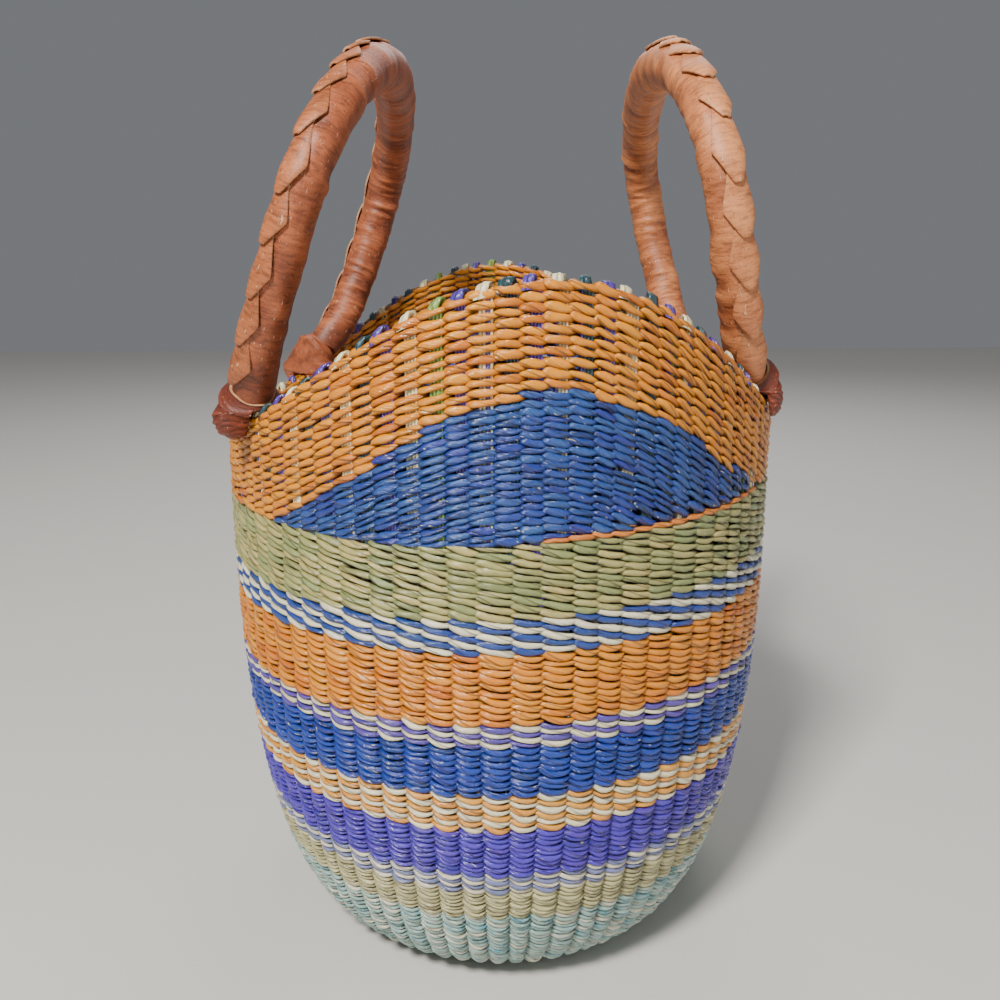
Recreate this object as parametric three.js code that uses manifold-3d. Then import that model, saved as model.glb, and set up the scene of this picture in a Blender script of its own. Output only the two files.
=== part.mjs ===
// A twined grass shopping basket with two leather-covered loop handles.
// Millimetres, +Z up, origin on the ground under the middle of the basket. +X and -X are the
// sides that carry the handles, -Y and +Y are the two raised ends of the rim.
//
// The wall is one band of weft after another, from the flat mat underneath to the folded rim.
// Each band of colour is a ring of its own, with the stakes that it is twined round inside it.
// Each handle is a straw core in a leather sleeve, closed along its outside by a plaited seam,
// and both of its feet are held to the rim by a leather cuff that passes through a slot.

import * as THREE from "three";
import { mergeVertices } from "three/addons/utils/BufferGeometryUtils.js";
import Module from "manifold-3d";

const wasm = await Module();
wasm.setup();

// Driving sizes of the body
const HALF_WIDTH = 140; // widest, across the handles
const HALF_LENGTH = 166; // widest, from the middle to a raised end
const WALL = 8; // two weft strands and the stake between them
const GAP = 0.3; // between pieces that touch
const BASE_HALF_WIDTH = 73; // the flat mat underneath
const WIDEST_HEIGHT = 197;
const BORDER_HEIGHT = 5; // the folded stake ends that close the rim
const BUMP_HEIGHT = 1; // a fold stands this proud of the border
const ROW_LEAN = 5; // the rows stand this much higher at +X than at the middle
const RIM_LEAN = 2; // and so does the rim
const RIB_DEPTH = 2; // the weft sinks this far between two stakes

// Heights of the bands of weft, from the ground up
const TEAL_BAND = 50;
const OLIVE_BAND = 16;
const GREY_BAND = 10;
const PURPLE_BAND = 24;
const PEACH_BAND = 18;
const BLUE_BAND = 24;
const LILAC_BAND = 10;
const ORANGE_BAND = 32;
const NAVY_BAND = 15;
const GREEN_BAND = 31;
const WEDGE_RISE = 59; // extra short rows under each raised end
const GOLD_SIDE = 30; // from the green band to the top of the rim, beside the handles
const GOLD_PEAK = 44; // from a wedge to the top of the rim, at the raised ends

// Counts, angles and bare ratios of the body
const STAKES = 72;
const STATIONS = 48; // corners of each ring in plan
const NEAR_TURN = THREE.MathUtils.degToRad(4.5); // the high points sit round from the Y axis
const FAR_TURN = THREE.MathUtils.degToRad(-3);
const WEDGE_SPAN = THREE.MathUtils.degToRad(58); // from a high point to where short rows end
const WEDGE_STATIONS = 7; // corners on each side of a high point that carry short rows
const RIM_POWER = 2.75; // how fast the rim drops away from a high point
const WEDGE_POWER = 1.7;
const BARREL_DEPTH_POWER = 2; // how the barrel fills out above the mat
const BARREL_WIDTH_POWER = 3.1;

// Driving sizes of the handles
const CORE_RADIUS = 7.4; // straw bundle
const GRIP_RADIUS = 10.8; // leather sleeve over the grip
const LEG_RADIUS = 10; // leather sleeve on the far leg
const NEAR_LEG_RADIUS = 9.2; // leather sleeve on the near leg, where it is pulled tighter
const NEAR_LEG_SHARE = 0.2; // share of the loop over which the near leg stays that slim
const BEND_REACH = 16; // a leg's first bend is over by about twice this height
const SLEEVE_START = 5; // the sleeve's end, along the leg from the pivot
const PLAIT_HALF_WIDTH = 6.4; // the laced seam, at the widest part of a leaf
const PLAIT_WAIST = 4; // and where one leaf tucks under the next
const PLAIT_THICKNESS = 2.6;
const PLAIT_THIN = 1.2;
const PLAIT_SEAT = 0.6; // lifts the straight chords of the seam clear of the sleeve's corners
const LEAF_LENGTH = 21;
const PLAIT_START = 22; // the seam's end, along the leg from the pivot
const LEATHER = 1.8;
const CUFF_SLACK = 2.8; // room for the sleeve in the cuff round each foot
const CUFF_TOP = 7; // above the pivot
const CUFF_DROP = 23; // below the pivot
const CUFF_TONGUE = 4.6; // height of the cuff's part that goes through the wall
const CUFF_EASE = 2; // room for the rim's bend inside a straight cuff

// A foot's outset moves its pivot outwards from the middle of the wall. Its bend carries the
// leg above it back in over the basket.
const LEFT = {
  side: -1,
  name: "left",
  spread: 92, // each foot's distance from the middle, along Y
  height: 157, // pivot line to the middle of the crown, along the loop
  shoulder: 90, // where a leg turns into the crown
  halfWidth: 116,
  tilt: THREE.MathUtils.degToRad(19), // leans in over the basket
  near: { outset: 2, bend: 0 },
  far: { outset: -6, bend: 10 },
  seamTurn: THREE.MathUtils.degToRad(50), // the seam sits round from the loop's outside
};
const RIGHT = {
  side: 1,
  name: "right",
  spread: 84,
  height: 149,
  shoulder: 86,
  halfWidth: 114,
  tilt: THREE.MathUtils.degToRad(12),
  near: { outset: -5, bend: 5 },
  far: { outset: 0, bend: 0 },
  seamTurn: THREE.MathUtils.degToRad(18),
};

const COLOURS = {
  mat: "#b9a878",
  teal: "#8fb0a4",
  olive: "#a79a6a",
  grey: "#b9bda6",
  purple: "#5d49a6",
  peach: "#e0a064",
  blue: "#2f5099",
  lilac: "#b8a9b8",
  orange: "#e0902f",
  navy: "#9aa3b4",
  green: "#a39f6c",
  wedge: "#26407f",
  gold: "#d8932f",
  border: "#cf9a45",
  straw: "#c9a964",
  leather: "#b3683f",
  cuff: "#9c4f34",
};

const grassFinish = { roughness: 0.6, metalness: 0 };
const leatherFinish = { roughness: 0.45, metalness: 0 };

const basket = new THREE.Group();

function addPiece(parent, name, geometry, colour, finish) {
  const material = new THREE.MeshStandardMaterial({ color: colour, ...finish });
  const mesh = new THREE.Mesh(geometry, material);
  mesh.name = name;
  parent.add(mesh);
  return mesh;
}

// Solids skinned over sections

function signedVolume(points, triangles) {
  const normal = new THREE.Vector3();
  let sum = 0;
  for (let i = 0; i < triangles.length; i += 3) {
    const [a, b, c] = [0, 1, 2].map((k) => points[triangles[i + k]]);
    sum += normal.crossVectors(b, c).dot(a);
  }
  return sum;
}

// Joins closed sections of equal point counts. With around, the last section meets the first.
// Both halves of a section turn their diagonals so that stacked rings meet along the same edges.
function skin(sections, around) {
  const count = sections[0].length;
  const points = sections.flat();
  const triangles = [];
  const last = around ? sections.length : sections.length - 1;
  for (let i = 0; i < last; i += 1) {
    const here = i * count;
    const there = ((i + 1) % sections.length) * count;
    for (let j = 0; j < count; j += 1) {
      const k = (j + 1) % count;
      const corners = [here + j, there + j, there + k, here + k];
      const [a, b, c, d] = j < count / 2 ? corners : [...corners.slice(1), corners[0]];
      triangles.push(a, b, c, a, c, d);
    }
  }
  if (!around) {
    const end = (sections.length - 1) * count;
    for (let j = 1; j < count - 1; j += 1) {
      triangles.push(0, j, j + 1, end, end + j + 1, end + j);
    }
  }
  if (signedVolume(points, triangles) < 0) triangles.reverse();
  const geometry = new THREE.BufferGeometry().setFromPoints(points);
  geometry.setIndex(triangles);
  geometry.computeVertexNormals();
  return geometry;
}

function toSolid(geometry) {
  const bare = new THREE.BufferGeometry();
  bare.setAttribute("position", geometry.getAttribute("position"));
  bare.setIndex(geometry.getIndex());
  const merged = mergeVertices(bare);
  return new wasm.Manifold(
    new wasm.Mesh({
      numProp: 3,
      vertProperties: Float32Array.from(merged.getAttribute("position").array),
      triVerts: Uint32Array.from(merged.getIndex().array),
    }),
  );
}

function toGeometry(solid) {
  const mesh = solid.getMesh();
  const geometry = new THREE.BufferGeometry();
  geometry.setAttribute("position", new THREE.BufferAttribute(mesh.vertProperties, mesh.numProp));
  geometry.setIndex(new THREE.BufferAttribute(mesh.triVerts, 1));
  geometry.computeVertexNormals();
  return geometry;
}

// The basket's form

function halfWidthAt(height) {
  const below = 1 - THREE.MathUtils.clamp(height / WIDEST_HEIGHT, 0, 1);
  const filled = (1 - below ** BARREL_DEPTH_POWER) ** (1 / BARREL_WIDTH_POWER);
  return THREE.MathUtils.lerp(BASE_HALF_WIDTH, HALF_WIDTH, filled);
}

// Unit normal of the wall's profile at a height: how far out, and how far up.
function profileNormal(height) {
  const reach = WIDEST_HEIGHT / STAKES;
  const low = Math.max(height - reach, 0);
  const rise = height + reach - low;
  const widening = halfWidthAt(height + reach) - halfWidthAt(low);
  return height === 0 ? { out: 0, up: -1 } : normalised(rise, -widening);
}

function normalised(out, up) {
  const length = Math.hypot(out, up);
  return { out: out / length, up: up / length };
}

// A point of the wall at an angle round the basket, an outer height and a depth into the wall.
// Angle 0 is the -Y end, and a quarter turn is the +X side.
function wallPoint(angle, height, depth) {
  const normal = profileNormal(height);
  const halfWidth = halfWidthAt(height);
  const halfLength = halfWidth * (HALF_LENGTH / HALF_WIDTH);
  return new THREE.Vector3(
    (halfWidth - depth * normal.out) * Math.sin(angle),
    -(halfLength - depth * normal.out) * Math.cos(angle),
    height - depth * normal.up,
  );
}

const stationAngle = (k) => NEAR_TURN + (k / STATIONS) * 2 * Math.PI;
const farStation = Math.round(STATIONS * (1 / 2 + (FAR_TURN - NEAR_TURN) / (2 * Math.PI)));

const BANDS = [
  { node: "weft_teal", height: TEAL_BAND, steps: 4, colour: COLOURS.teal },
  { node: "weft_olive", height: OLIVE_BAND, steps: 1, colour: COLOURS.olive },
  { node: "weft_grey", height: GREY_BAND, steps: 1, colour: COLOURS.grey },
  { node: "weft_purple", height: PURPLE_BAND, steps: 2, colour: COLOURS.purple },
  { node: "weft_peach", height: PEACH_BAND, steps: 1, colour: COLOURS.peach },
  { node: "weft_blue", height: BLUE_BAND, steps: 1, colour: COLOURS.blue },
  { node: "weft_lilac", height: LILAC_BAND, steps: 1, colour: COLOURS.lilac },
  { node: "weft_orange", height: ORANGE_BAND, steps: 1, colour: COLOURS.orange },
  { node: "weft_navy", height: NAVY_BAND, steps: 1, colour: COLOURS.navy },
  { node: "weft_green", height: GREEN_BAND, steps: 1, colour: COLOURS.green },
];
const bandsTop = BANDS.reduce((sum, { height }) => sum + height, 0);

// The rows climb a little towards +X, more so further up.
const rowHeight = (angle, height) => height + ROW_LEAN * Math.sin(angle) * (height / bandsTop);

function rimHeight(angle) {
  const turn = THREE.MathUtils.lerp(FAR_TURN, NEAR_TURN, (1 + Math.cos(angle)) / 2);
  const nearness = Math.abs(Math.cos(angle - turn)) ** RIM_POWER;
  const gold = THREE.MathUtils.lerp(GOLD_SIDE, WEDGE_RISE + GOLD_PEAK, nearness);
  return bandsTop + gold + RIM_LEAN * Math.sin(angle);
}

// Height of the short rows over the bands, at an angle from the nearer high point.
function wedgeRise(fromPeak) {
  const share = Math.min(Math.abs(fromPeak) / WEDGE_SPAN, 1);
  return WEDGE_RISE * Math.cos((share * Math.PI) / 2) ** WEDGE_POWER;
}

const RIB_STEPS = 2; // columns of corners for each rib, one in its groove and one on its crest
const RIB_COLUMNS = STAKES * RIB_STEPS;
const ribPlace = (column) => (column * STATIONS) / RIB_COLUMNS;

// A closed ring with ribs outside and a plain inside of fewer columns. heightsAt gives a
// column's heights, and sunkAt how much of the ribs' depth a level has.
function ribbedRing(heightsAt, sunkAt) {
  const column = (place, depth) => {
    const angle = stationAngle(place);
    return heightsAt(place).map((height, level) => wallPoint(angle, height, depth(level)));
  };
  const outside = Array.from({ length: RIB_COLUMNS }, (_, i) => {
    const groove = i % RIB_STEPS === 0 ? RIB_DEPTH : 0;
    return column(ribPlace(i), (level) => groove * sunkAt(level));
  });
  const inside = Array.from({ length: STATIONS }, (_, k) => column(k, () => WALL));
  const rows = outside[0].length;
  const out = (i, row) => (i % RIB_COLUMNS) * rows + row;
  const into = (k, row) => (RIB_COLUMNS + (k % STATIONS)) * rows + row;
  const triangles = [];
  const quad = (a, b, c, d) => triangles.push(a, b, c, a, c, d);
  for (let row = 0; row < rows - 1; row += 1) {
    for (let i = 0; i < RIB_COLUMNS; i += 1) {
      quad(out(i, row), out(i + 1, row), out(i + 1, row + 1), out(i, row + 1));
    }
    for (let k = 0; k < STATIONS; k += 1) {
      quad(into(k + 1, row), into(k, row), into(k, row + 1), into(k + 1, row + 1));
    }
  }
  const high = rows - 1;
  const times = RIB_COLUMNS / STATIONS;
  for (let k = 0; k < STATIONS; k += 1) {
    for (let i = k * times; i < (k + 1) * times; i += 1) {
      triangles.push(out(i, high), out(i + 1, high), into(k, high));
      triangles.push(out(i + 1, 0), out(i, 0), into(k, 0));
    }
    triangles.push(out((k + 1) * times, high), into(k + 1, high), into(k, high));
    triangles.push(into(k + 1, 0), out((k + 1) * times, 0), into(k, 0));
  }
  const geometry = new THREE.BufferGeometry().setFromPoints([...outside, ...inside].flat());
  geometry.setIndex(triangles);
  geometry.computeVertexNormals();
  return geometry;
}

// One ring's section: up the outside through the given heights, and down the inside.
function wallSection(angle, heights) {
  const outside = heights.map((height) => wallPoint(angle, height, 0));
  const inside = heights.map((height) => wallPoint(angle, height, WALL)).reverse();
  return [...outside, ...inside];
}

// Heights from low to high, closer together near the ground where the profile turns fastest.
function levels(low, high, steps) {
  const root = (height) => Math.sqrt(Math.max(height, 0));
  return Array.from({ length: steps + 1 }, (_, i) => {
    return THREE.MathUtils.lerp(root(low), root(high), i / steps) ** 2;
  });
}

// The foot's ribs run out at its edges, where it meets the mat and the next band.
function ribbedBand(low, high, steps) {
  const heightsAt = (place) => {
    const angle = stationAngle(place);
    return levels(low, rowHeight(angle, high) - GAP / 2, steps);
  };
  return ribbedRing(heightsAt, (level) => Math.sin((level / steps) * Math.PI));
}

function band(low, high, steps) {
  const sections = [];
  for (let k = 0; k < STATIONS; k += 1) {
    const angle = stationAngle(k);
    const bottom = rowHeight(angle, low) + GAP / 2;
    const top = rowHeight(angle, high) - GAP / 2;
    sections.push(wallSection(angle, levels(bottom, top, steps)));
  }
  return skin(sections, true);
}

// The flat mat, where the stakes cross and the twining starts

function mat() {
  const outline = new THREE.Shape();
  for (let k = 0; k < STATIONS; k += 1) {
    const edge = wallPoint(stationAngle(k), 0, 0);
    const length = Math.hypot(edge.x, edge.y);
    edge.multiplyScalar((length - GAP) / length);
    if (k === 0) outline.moveTo(edge.x, edge.y);
    else outline.lineTo(edge.x, edge.y);
  }
  return new THREE.ExtrudeGeometry(outline, { depth: WALL, bevelEnabled: false });
}

addPiece(basket, "base_mat", mat(), COLOURS.mat, grassFinish);

let laid = 0;
for (const { node, height, steps, colour } of BANDS) {
  const form = laid === 0 ? ribbedBand : band;
  addPiece(basket, node, form(laid, laid + height, steps), colour, grassFinish);
  laid += height;
}

// Short rows that lift each end of the rim

function wedge(middle) {
  const sections = [];
  for (let k = -WEDGE_STATIONS; k <= WEDGE_STATIONS; k += 1) {
    const angle = stationAngle(middle + k);
    const bottom = rowHeight(angle, bandsTop) + GAP / 2;
    const top = bottom + wedgeRise((k / STATIONS) * 2 * Math.PI);
    sections.push(wallSection(angle, [bottom, top]));
  }
  return skin(sections, false);
}

addPiece(basket, "wedge_near", wedge(0), COLOURS.wedge, grassFinish);
addPiece(basket, "wedge_far", wedge(farStation), COLOURS.wedge, grassFinish);

// The golden collar over the wedges, up to the border. Its top follows the rim.

function collarFloor(k) {
  const angle = stationAngle(k);
  const fromNear = Math.min(k % STATIONS, STATIONS - (k % STATIONS));
  const fromPeak = Math.min(fromNear, Math.abs((k % STATIONS) - farStation));
  const rise = fromPeak <= WEDGE_STATIONS ? wedgeRise((fromPeak / STATIONS) * 2 * Math.PI) + GAP : 0;
  return rowHeight(angle, bandsTop) + GAP / 2 + rise;
}

const collarTop = (k) => rimHeight(stationAngle(k)) - BORDER_HEIGHT - GAP;

// Between two stations the collar keeps to the straight edges of the pieces under and over it.
function collarRing() {
  const between = (edge, place) => {
    const k = Math.floor(place);
    return THREE.MathUtils.lerp(edge(k), edge(k + 1), place - k);
  };
  const heightsAt = (place) => [between(collarFloor, place), between(collarTop, place)];
  return ribbedRing(heightsAt, () => 1);
}

// The border: every stake folds over the top row and makes one bump

const FOLD_STEPS = 2; // sections for each fold, one on its crest and one in the groove

function borderSection(step) {
  const angle = NEAR_TURN + (step / (STAKES * FOLD_STEPS)) * 2 * Math.PI;
  const place = (step * STATIONS) / (STAKES * FOLD_STEPS);
  const k = Math.floor(place);
  const seat = THREE.MathUtils.lerp(collarTop(k), collarTop(k + 1), place - k) + GAP;
  const proud = step % FOLD_STEPS === 0 ? BUMP_HEIGHT : -BUMP_HEIGHT;
  const top = seat + BORDER_HEIGHT + proud;
  const cheek = proud / 2;
  const shoulder = WALL / 4;
  return [
    wallPoint(angle, seat, 0),
    wallPoint(angle, seat + BORDER_HEIGHT / 2, -cheek),
    wallPoint(angle, top, shoulder),
    wallPoint(angle, top, WALL - shoulder),
    wallPoint(angle, seat + BORDER_HEIGHT / 2, WALL + cheek),
    wallPoint(angle, seat, WALL),
  ];
}

function borderRing() {
  const sections = [];
  for (let step = 0; step < STAKES * FOLD_STEPS; step += 1) sections.push(borderSection(step));
  return skin(sections, true);
}

addPiece(basket, "rim_border", borderRing(), COLOURS.border, grassFinish);

// Where a handle's foot stands: on the rim, near the middle of the wall

function footPlace(handle, end, outset) {
  const midWidth = HALF_WIDTH - WALL / 2;
  const midLength = HALF_LENGTH - WALL / 2;
  const y = end * handle.spread;
  const x = handle.side * midWidth * Math.sqrt(1 - (y / midLength) ** 2);
  const angle = Math.atan2(x / midWidth, -y / midLength);
  const along = new THREE.Vector3(midWidth * Math.cos(angle), midLength * Math.sin(angle), 0);
  const step = Math.PI / (STAKES * STAKES);
  const climb = (rimHeight(angle + step) - rimHeight(angle - step)) / (2 * step * along.length());
  along.normalize();
  const outward = new THREE.Vector3(along.y, -along.x, 0);
  const seat = (CORE_RADIUS + GAP) * Math.hypot(1, climb) + BUMP_HEIGHT;
  const pivot = new THREE.Vector3(x, y, rimHeight(angle) + seat).addScaledVector(outward, outset);
  return { pivot, along, outward, climb, seat, outset };
}

// The loop: two legs that swell outwards to the shoulders, and a flatter crown, all in a plane.
// Y runs from the near foot to the far foot and Z up the loop.

class LoopCurve extends THREE.Curve {
  constructor(handle, spread) {
    super();
    this.handle = handle;
    this.dip = Math.acos(spread / handle.halfWidth);
    this.leg = handle.shoulder / Math.sin(this.dip);
    this.crown = handle.height - handle.shoulder;
  }

  getPoint(t, target = new THREE.Vector3()) {
    const { halfWidth, shoulder, near, far, side } = this.handle;
    const angle = THREE.MathUtils.lerp(-this.dip, Math.PI + this.dip, t);
    const reach = Math.sin(angle) < 0 ? this.leg : this.crown;
    const height = Math.max(shoulder + reach * Math.sin(angle), 0);
    const bend = THREE.MathUtils.lerp(near.bend, far.bend, THREE.MathUtils.smoothstep(t, 0, 1));
    const inward = bend * (1 - Math.exp(-height / BEND_REACH));
    return target.set(-side * inward, -halfWidth * Math.cos(angle), height);
  }
}

const ACROSS = new THREE.Vector3(1, 0, 0); // square to the loop's plane

// A point off the loop's centre line: turn 0 is away from the loop's middle, a quarter turn
// is along +X.
function offLoop(curve, along, turn, radius) {
  const share = THREE.MathUtils.clamp(along / curve.getLength(), 0, 1);
  const tangent = curve.getTangentAt(share);
  const outward = new THREE.Vector3().crossVectors(ACROSS, tangent);
  return curve
    .getPointAt(share)
    .addScaledVector(outward, radius * Math.cos(turn))
    .addScaledVector(ACROSS, radius * Math.sin(turn));
}

const CORE_SIDES = 8;
const SLEEVE_SIDES = 10;
const SLEEVE_STEPS = 26;
const END_STEPS = 3;

// Distances along the loop where the sleeve and its core have their sections.
function loopStations(curve) {
  const last = curve.getLength() - SLEEVE_START;
  return Array.from({ length: SLEEVE_STEPS + 1 }, (_, i) => {
    return THREE.MathUtils.lerp(SLEEVE_START, last, i / SLEEVE_STEPS);
  });
}

// The straw core, with a round end about each pivot.
function coreSolid(curve, radius) {
  const length = curve.getLength();
  const sections = [];
  const ring = (along, size, past) => {
    const tangent = curve.getTangentAt(along / length);
    const points = [];
    for (let j = 0; j < CORE_SIDES; j += 1) {
      const turn = (j / CORE_SIDES) * 2 * Math.PI;
      points.push(offLoop(curve, along, turn, size).addScaledVector(tangent, past));
    }
    sections.push(points);
  };
  for (let i = 0; i < END_STEPS; i += 1) {
    const angle = (i + 1 / 2) * (Math.PI / 2 / END_STEPS);
    ring(0, radius * Math.sin(angle), -radius * Math.cos(angle));
  }
  for (const along of [0, ...loopStations(curve), length]) ring(along, radius, 0);
  for (let i = END_STEPS - 1; i >= 0; i -= 1) {
    const angle = (i + 1 / 2) * (Math.PI / 2 / END_STEPS);
    ring(length, radius * Math.sin(angle), radius * Math.cos(angle));
  }
  return skin(sections, false);
}

const sleeveRadius = (curve, along) => {
  const share = along / curve.getLength();
  const middle = 1 / 2;
  const { lerp, smoothstep } = THREE.MathUtils;
  if (share > middle) return lerp(GRIP_RADIUS, LEG_RADIUS, smoothstep(share, middle, 1));
  return lerp(NEAR_LEG_RADIUS, GRIP_RADIUS, smoothstep(share, NEAR_LEG_SHARE, middle));
};

// The leather sleeve, open at both ends, as strips along the loop: out along the outside and
// back along the bore.
function sleeveSolid(curve) {
  const stations = loopStations(curve);
  const sections = [];
  for (let j = 0; j < SLEEVE_SIDES; j += 1) {
    const turn = (j / SLEEVE_SIDES) * 2 * Math.PI;
    const outside = stations.map((along) => offLoop(curve, along, turn, sleeveRadius(curve, along)));
    const bore = stations.map((along) => offLoop(curve, along, turn, boreRadius)).reverse();
    sections.push([...outside, ...bore]);
  }
  return skin(sections, true);
}

// A bore of straight facets clears the core's corners.
const boreRadius = (CORE_RADIUS + GAP) / Math.cos(Math.PI / SLEEVE_SIDES);

// The plaited seam: leaves that widen, thicken and tuck under the next one.
const LEAF_SHARES = [
  { along: 0, width: 0, thickness: 0 },
  { along: 0.45, width: 1, thickness: 0.7 },
  { along: 0.85, width: 0.55, thickness: 1 },
];
const LEAF_BASE_SHARES = [-1, -0.5, 0, 0.5, 1];
const LEAF_CREST_SHARES = [0.5, -0.5];

function plaitSolid(curve, seamTurn) {
  const reach = curve.getLength() - 2 * PLAIT_START;
  const leaves = Math.round(reach / LEAF_LENGTH);
  const sections = [];
  const place = (along, width, thickness) => {
    const seat = sleeveRadius(curve, along) + PLAIT_SEAT;
    const at = (share, lift) => {
      return offLoop(curve, along, seamTurn + (share * width) / seat, seat + lift);
    };
    sections.push([
      ...LEAF_BASE_SHARES.map((share) => at(share, 0)),
      ...LEAF_CREST_SHARES.map((share) => at(share, thickness)),
    ]);
  };
  for (let leaf = 0; leaf < leaves; leaf += 1) {
    for (const shares of LEAF_SHARES) {
      const along = PLAIT_START + ((leaf + shares.along) / leaves) * reach;
      const width = THREE.MathUtils.lerp(PLAIT_WAIST, PLAIT_HALF_WIDTH, shares.width);
      const thickness = THREE.MathUtils.lerp(PLAIT_THIN, PLAIT_THICKNESS, shares.thickness);
      place(along, width, thickness);
    }
  }
  place(PLAIT_START + reach, PLAIT_WAIST, PLAIT_THIN);
  return skin(sections, false);
}


// The cuff: a leather pouch that starts square to the leg, goes down both faces of the wall
// and passes through a slot under the rim. Its lower part follows the slope of the rim.

const CUFF_SIDES = 12;
const CUFF_SHARES = [
  { drop: 0.45, across: 1, along: 1 },
  { drop: 0.8, across: 0.85, along: 0.85 },
  { drop: 1, across: 0.55, along: 0.7 },
];
const tongueShare = CUFF_SHARES[1].along;
const cuffRadius = LEG_RADIUS + CUFF_SLACK + LEATHER;

function pouch(foot, inset, overrun) {
  const turns = Array.from({ length: CUFF_SIDES }, (_, j) => (j / CUFF_SIDES) * 2 * Math.PI);
  const collar = turns.map((turn) => {
    const radius = cuffRadius - inset;
    return foot.pivot
      .clone()
      .addScaledVector(foot.rise, CUFF_TOP + overrun)
      .addScaledVector(foot.riseAcross, radius * Math.cos(turn))
      .addScaledVector(foot.riseAlong, radius * Math.sin(turn));
  });
  const skirt = CUFF_SHARES.map((shares) => {
    const reach = Math.abs(foot.outset) / 2;
    const up = THREE.MathUtils.lerp(0, inset - CUFF_DROP, shares.drop);
    return turns.map((turn) => {
      const across = (cuffRadius * shares.across + reach - inset) * Math.cos(turn);
      const along = (cuffRadius * shares.along - inset) * Math.sin(turn);
      return footPoint(foot, across - foot.outset / 2, along, up);
    });
  });
  return skin([collar, ...skirt], false);
}

function footPoint(foot, across, along, up) {
  return foot.pivot
    .clone()
    .addScaledVector(foot.outward, across)
    .addScaledVector(foot.along, along)
    .add(new THREE.Vector3(0, 0, up + foot.climb * along));
}

// A bar along the rim at a foot, through the given extent across the wall and in height.
function rimBar(foot, halfAcross, halfAlong, low, high) {
  const inside = -foot.outset - halfAcross;
  const outside = -foot.outset + halfAcross;
  const section = (along) => [
    footPoint(foot, inside, along, low),
    footPoint(foot, outside, along, low),
    footPoint(foot, outside, along, high),
    footPoint(foot, inside, along, high),
  ];
  return skin([section(-halfAlong), section(halfAlong)], false);
}

const tongueTop = -CUFF_DROP + CUFF_TONGUE;
const tongueHalfLength = cuffRadius * tongueShare;

function cuffSolid(foot, leg) {
  const borderTop = CUFF_EASE - foot.seat;
  const wallHalf = WALL / 2 + CUFF_EASE;
  const rim = toSolid(rimBar(foot, wallHalf, 2 * cuffRadius, tongueTop, borderTop));
  const inside = toSolid(pouch(foot, LEATHER, LEATHER));
  return toGeometry(largest(toSolid(pouch(foot, 0, 0)).subtract(inside).subtract(rim).subtract(leg)));
}

// A cut may leave slivers beside the main body.
function largest(solid) {
  const pieces = solid.decompose();
  return pieces.reduce((best, piece) => (piece.volume() > best.volume() ? piece : best));
}

function slotTool(foot) {
  return toSolid(
    rimBar(foot, WALL, tongueHalfLength + GAP, -CUFF_DROP - GAP, tongueTop + GAP),
  );
}

// Puts the loop's plane through both pivots and leans it in over the basket.
function loopFrame(handle, near, far) {
  const frame = new THREE.Group();
  frame.position.copy(near.pivot).add(far.pivot).multiplyScalar(1 / 2);
  const line = new THREE.Vector3().subVectors(far.pivot, near.pivot).normalize();
  frame.quaternion.setFromUnitVectors(new THREE.Vector3(0, 1, 0), line);
  const lean = new THREE.Group();
  lean.rotation.y = -handle.side * handle.tilt;
  frame.add(lean);
  basket.add(frame);
  frame.updateMatrixWorld(true);
  return lean;
}

const slots = [];

function addHandle(handle) {
  const near = footPlace(handle, -1, handle.near.outset);
  const far = footPlace(handle, 1, handle.far.outset);
  const frame = loopFrame(handle, near, far);
  const spread = near.pivot.distanceTo(far.pivot) / 2;
  const curve = new LoopCurve(handle, spread);
  const seamTurn = handle.side * handle.seamTurn;
  addPiece(frame, `${handle.name}_core`, coreSolid(curve, CORE_RADIUS), COLOURS.straw, grassFinish);
  addPiece(frame, `${handle.name}_sleeve`, sleeveSolid(curve), COLOURS.leather, leatherFinish);
  addPiece(frame, `${handle.name}_plait`, plaitSolid(curve, seamTurn), COLOURS.leather, leatherFinish);
  const legRadius = (LEG_RADIUS + GAP) / Math.cos(Math.PI / CORE_SIDES);
  const leg = toSolid(coreSolid(curve, legRadius).applyMatrix4(frame.matrixWorld));
  setRise(near, curve.getTangentAt(0), frame);
  setRise(far, curve.getTangentAt(1).negate(), frame);
  for (const [end, foot] of [["near", near], ["far", far]]) {
    const cuff = cuffSolid(foot, leg);
    addPiece(basket, `${handle.name}_${end}_cuff`, cuff, COLOURS.cuff, leatherFinish);
    slots.push(slotTool(foot));
  }
}

// The direction in which a leg leaves its foot, with two directions square to it.
function setRise(foot, tangent, frame) {
  foot.rise = tangent.transformDirection(frame.matrixWorld);
  foot.riseAlong = new THREE.Vector3().crossVectors(foot.rise, foot.outward).normalize();
  foot.riseAcross = new THREE.Vector3().crossVectors(foot.riseAlong, foot.rise);
}

addHandle(LEFT);
addHandle(RIGHT);

const slotted = slots.reduce((solid, slot) => solid.subtract(slot), toSolid(collarRing()));
addPiece(basket, "weft_gold", toGeometry(slotted), COLOURS.gold, grassFinish);

export default basket;
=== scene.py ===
# %% [markdown]
# # A twined grass basket with two leather handles
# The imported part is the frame: plain and ribbed bands for the woven wall, smooth tubes for the
# handles. This file dresses it. Every strand of the wall is a small solid of its own. It is placed
# by the same few formulas that shaped the part, so the weave lands on it without any fitting.

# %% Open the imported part
import math

import bpy
import numpy as np
from mathutils import Matrix, Vector


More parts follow.
